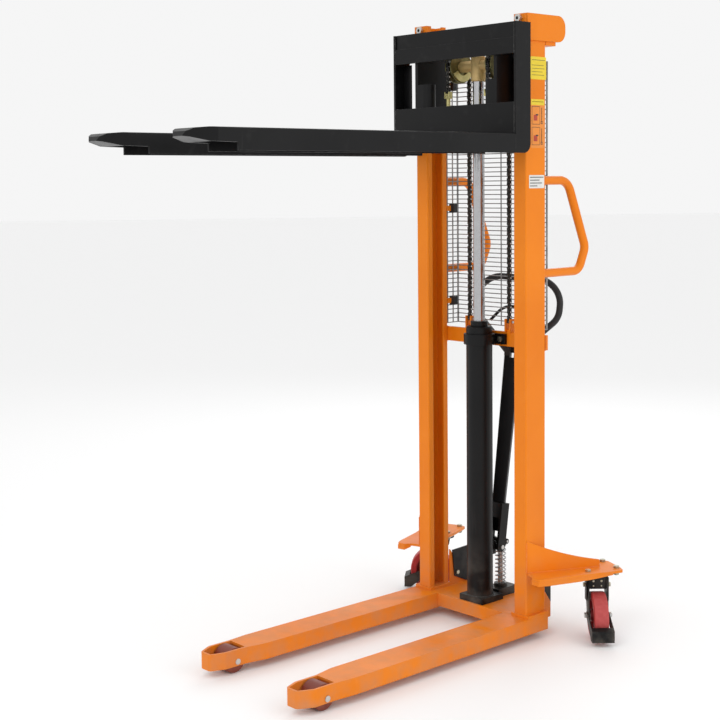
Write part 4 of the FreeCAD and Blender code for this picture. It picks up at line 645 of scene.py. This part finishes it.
def labels():
    """Three letterless labels: a yellow one, a pair of orange warning panels and a white plate."""
    top = film((-0.036, 1.779), (0.038, 1.849), 0.004, [
        *lines(-0.030, [(0.032, 1.838)], 0.0015),
        *lines(-0.030, [(0.026, 1.822), (0.030, 1.812), (0.020, 1.802), (0.028, 1.792)], 0.0012),
    ])
    piece("label_top", top, "mast", "orange_paint", LABEL_YELLOW, LABEL_BLACK)
    rows = [((-0.034, 0.029), (1.700, 1.718), 2), ((-0.030, 0.024), (1.7095, 1.7115), 1)]
    for z in (1.640, 1.576):
        rows.append(((-0.030, 0.008), (z, z + 0.056), 1))
        rows.append(((-0.0285, 0.0065), (z + 0.0015, z + 0.0545), 0))
        rows.append(((-0.022, -0.004), (z + 0.012, z + 0.030), 3))
        rows.append(((-0.012, 0.000), (z + 0.028, z + 0.032), 1))
        rows.append(((0.0155, 0.0175), (z + 0.004, z + 0.052), 1))
        rows.append(((0.0125, 0.0205), (z + 0.002, z + 0.010), 1))
        rows.append(((0.0143, 0.0187), (z + 0.0038, z + 0.0082), 0))
    piece("label_middle", layered(rows), "mast", "orange_paint",
          LABEL_ORANGE, LABEL_BLACK, LABEL_YELLOW, LABEL_RED)
    low = film((-0.043, 1.442), (0.029, 1.483), 0.003,
               lines(-0.039, [(0.025, 1.475), (0.006, 1.466), (0.018, 1.457), (-0.004, 1.448)], 0.0025))
    piece("label_low", low, "mast", "orange_paint", LABEL_WHITE, LABEL_BLACK)


def layered(rows):
    """The middle label's frames lie one on another, so each later mark stands a hair prouder."""
    shape = film((-0.034, 1.567), (0.029, 1.718), 0.003, rows[:2])
    for count, (y, z, index) in enumerate(rows[2:]):
        lift = 0.00012 * (1 + count % 7)          # seven marks make one panel
        extra = film((y[0], z[0]), (y[1], z[1]), 0, [])
        for face in extra.faces:
            face.material_index = index
        stamp(shape, as_mesh(extra, "mark"), Matrix.Translation((lift, 0, 0)))
    return shape


labels()


# ---- carriage and castor details

def block(shape, low, high, radius, segments=3):
    """A box with rounded edges."""
    low, high = Vector(low), Vector(high)
    place = Matrix.Translation((low + high) / 2) @ Matrix.Diagonal((*(high - low), 1))
    made = bmesh.ops.create_cube(shape, size=1.0, matrix=place)
    edges = {edge for vert in made["verts"] for edge in vert.link_edges}
    bmesh.ops.bevel(shape, geom=list(edges), offset=radius, segments=segments, profile=0.5,
                    affect="EDGES", material=-1)


def carriage_backing():
    """Roller housings behind the window's two ends."""
    shape = bmesh.new()
    for sign in SIDES:
        x = sorted((sign * 0.2585, sign * 0.2240))
        block(shape, (x[0], 0.4345, 1.708), (x[1], 0.4395, 1.852), 0.0012)
    piece("carriage_end_plates", shape, "carriage", "black_paint", FORK_BLACK)


def guard_clips():
    """Black moulded clips that hold the guard's corner wires to the tabs."""
    shape = bmesh.new()
    # each: span in X, span in Y from the mast's zero line, half its height and its edges' radius
    blocks = (
        ((0.1788, 0.1896), (0.0567, 0.0763), 0.0147, 0.0012),
        ((0.1888, 0.1990), (0.0540, 0.0632), 0.0150, 0.002),
        ((0.1888, 0.1990), (0.0700, 0.0792), 0.0150, 0.002),
    )
    for sign in SIDES:
        for height in (1.062, 1.376, 1.786):
            for across, along, half, radius in blocks:
                x = sorted(sign * edge for edge in across)
                low = (x[0], MAST_Y + along[0], height - half)
                high = (x[1], MAST_Y + along[1], height + half)
                block(shape, low, high, radius)
    piece("guard_clips", shape, "mast", "orange_paint", CLIP)


def yoke_web():
    """Web that joins the two cheeks of the tiller's yoke and leans with them."""
    foot, top, lean = 0.288, 0.347, 0.144
    shape = bmesh.new()
    block(shape, (-0.0211, MAST_Y + 0.0834, foot), (0.0211, MAST_Y + 0.0864, top), 0.0006)
    for vert in shape.verts:
        vert.co.y += lean * (vert.co.z - foot)
    piece("yoke_web", shape, "tiller", "black_paint", BLACK)


def plate_edges():
    """The turned-down front edge runs on round the outrigger plate and fades out at its ends."""
    # each: X, Y from the mast's zero line, and how far the edge hangs below the plate
    path = ((0.2735, -0.066, 0.004), (0.2862, -0.0845, 0.013), (0.3160, -0.0865, 0.014),
            (0.3295, -0.0610, 0.014), (0.3695, 0.0520, 0.014), (0.3930, 0.1050, 0.010),
            (0.4165, 0.1590, 0.0035))
    plate_foot = 0.2142
    shape = bmesh.new()
    for sign in SIDES:
        high = [shape.verts.new((sign * x, MAST_Y + y, plate_foot + 0.0003)) for x, y, _ in path]
        low = [shape.verts.new((sign * x, MAST_Y + y, plate_foot - depth)) for x, y, depth in path]
        for k in range(len(path) - 1):
            shape.faces.new((high[k], high[k + 1], low[k + 1], low[k]))
    bmesh.ops.recalc_face_normals(shape, faces=shape.faces[:])
    bmesh.ops.solidify(shape, geom=shape.faces[:], thickness=0.004)
    bmesh.ops.recalc_face_normals(shape, faces=shape.faces[:])
    piece("outrigger_edges", shape, "mast", "orange_paint", ORANGE)


def crescents():
    """Cast cheeks of the crosshead, which show under the rim of each chain wheel."""
    reach, half_turn = 0.037, math.radians(62)
    shape = bmesh.new()
    for sign in SIDES:
        centre = (sign * 0.0700, WHEEL_Y, WHEEL_HEIGHT)
        before = set(shape.verts)
        section = Matrix.Diagonal((0.0055, 1, 0.020, 1)) @ Matrix.Rotation(math.pi / 2, 4, "X")
        bmesh.ops.create_grid(shape, x_segments=1, y_segments=2, size=0.5,
                              matrix=Matrix.Translation((centre[0], WHEEL_Y, WHEEL_HEIGHT - reach)) @ section)
        new = [vert for vert in shape.verts if vert not in before]
        bmesh.ops.rotate(shape, verts=new, cent=centre, matrix=Matrix.Rotation(-half_turn, 3, "X"))
        faces = {face for vert in new for face in vert.link_faces}
        edges = {edge for vert in new for edge in vert.link_edges}
        bmesh.ops.spin(shape, geom=[*new, *edges, *faces], cent=centre, axis=(1, 0, 0), dvec=(0, 0, 0),
                       angle=2 * half_turn, steps=20, use_merge=False)
    bmesh.ops.remove_doubles(shape, verts=shape.verts[:], dist=1e-5)
    bmesh.ops.recalc_face_normals(shape, faces=shape.faces[:])
    piece("crosshead_cheeks", shape, "ram", "yellow_zinc", YELLOW_ZINC)


def stop_sockets():
    """Dark hex discs on the heads of the stop bolts: painted shade that stands for their hex sockets."""
    shape = bmesh.new()
    for sign in SIDES:
        place = Matrix.Translation((sign * 0.2145, 0.4604, 1.966)) @ Matrix.Rotation(math.pi / 2, 4, "X")
        bmesh.ops.create_cone(shape, cap_ends=True, segments=6, radius1=0.0058, radius2=0.0052,
                              depth=0.0008, matrix=place)
    piece("stop_bolt_sockets", shape, "mast", "zinc_steel", SOCKET_PAINTED_SHADE)


def castor_details(side, sign):
    """The housing between the fork's cheeks, with its rivets and cross bolt."""
    turn = Matrix.Rotation(math.radians(48.6), 4, "Z")
    place = Matrix.Diagonal((sign, 1, 1, 1)) @ Matrix.Translation((0.341, MAST_Y + 0.165, 0)) @ turn
    housing = bmesh.new()
    block(housing, (-0.0278, -0.036, 0.158), (0.0278, -0.031, 0.1935), 0.0018)
    block(housing, (-0.0278, -0.033, 0.1575), (0.0278, 0.004, 0.1605), 0.0012)
    for edge_x in (-0.036, 0.033):
        block(housing, (edge_x, -0.040, 0.120), (edge_x + 0.003, -0.010, 0.196), 0.0012)
    bmesh.ops.transform(housing, matrix=place, verts=housing.verts[:])
    bmesh.ops.recalc_face_normals(housing, faces=housing.faces[:])
    piece("castor_housing_" + side, housing, "castor_" + side, "black_paint", BLACK)
    bolts = bmesh.new()
    # the cross bolt, its head and its nut: place along the bolt, sides, radius and length
    for x, segments, radius, length in (
        (0, 24, 0.004, 0.088),
        (-0.0405, 6, 0.0075, 0.006),
        (0.0405, 6, 0.0075, 0.006),
    ):
        bmesh.ops.create_cone(bolts, cap_ends=True, segments=segments, radius1=radius, radius2=radius,
                              depth=length, matrix=Matrix.Translation((x, -0.024, 0.170)) @ ACROSS)
    for x in (-0.013, 0.013):
        for z, size in ((0.184, 0.0042), (0.168, 0.0030)):
            domed = Matrix.Translation((x, -0.0355, z)) @ Matrix.Diagonal((1, 0.55, 1, 1))
            bmesh.ops.create_uvsphere(bolts, u_segments=16, v_segments=10, radius=size, matrix=domed)
    bmesh.ops.transform(bolts, matrix=place, verts=bolts.verts[:])
    bmesh.ops.recalc_face_normals(bolts, faces=bolts.faces[:])
    piece("castor_rivets_" + side, bolts, "castor_" + side, "zinc_steel", BOLT_ZINC)


carriage_backing()
guard_clips()
yoke_web()
plate_edges()
crescents()
stop_sockets()
castor_details("left", -1)
castor_details("right", 1)


# ---- stage

def lay_floor():
    """A plain pale floor."""
    shape = bmesh.new()
    bmesh.ops.create_grid(shape, x_segments=1, y_segments=1, size=60.0)
    mesh = as_mesh(shape, "floor")
    floor = bpy.data.objects.new("floor", mesh)
    bpy.context.collection.objects.link(floor)
    pale = Finish("pale_floor", Roughness=0.7)
    pale.set(Base_Color=(0.96, 0.96, 0.96, 1))
    mesh.materials.append(pale.material)


def soft_light(name, place, aim, size, power):
    """A large area lamp that points at aim."""
    lamp = bpy.data.objects.new(name, bpy.data.lights.new(name, "AREA"))
    lamp.data.shape = "RECTANGLE"
    lamp.data.size, lamp.data.size_y = size
    lamp.data.energy = power
    turn = (Vector(aim) - Vector(place)).to_track_quat("-Z", "Y").to_matrix().to_4x4()
    lamp.matrix_world = Matrix.Translation(place) @ turn
    bpy.context.collection.objects.link(lamp)


def light_studio():
    """Even white surroundings with three soft lamps."""
    world = bpy.data.worlds.new("studio")
    world.use_nodes = True
    sky = world.node_tree.nodes["Background"]
    sky.inputs["Color"].default_value = (1.0, 1.0, 1.0, 1)
    sky.inputs["Strength"].default_value = 0.92
    bpy.context.scene.world = world
    soft_light("key", (1.2, -4.2, 4.2), (0, 0.2, 0.9), (3.0, 3.0), 55)
    soft_light("side", (4.6, 0.8, 2.6), (0, 0.3, 1.0), (2.5, 3.0), 30)
    soft_light("back", (-2.5, 3.6, 3.4), (0, 0.3, 1.0), (2.5, 2.5), 30)


lay_floor()
light_studio()
bpy.context.scene.view_settings.view_transform = "Standard"
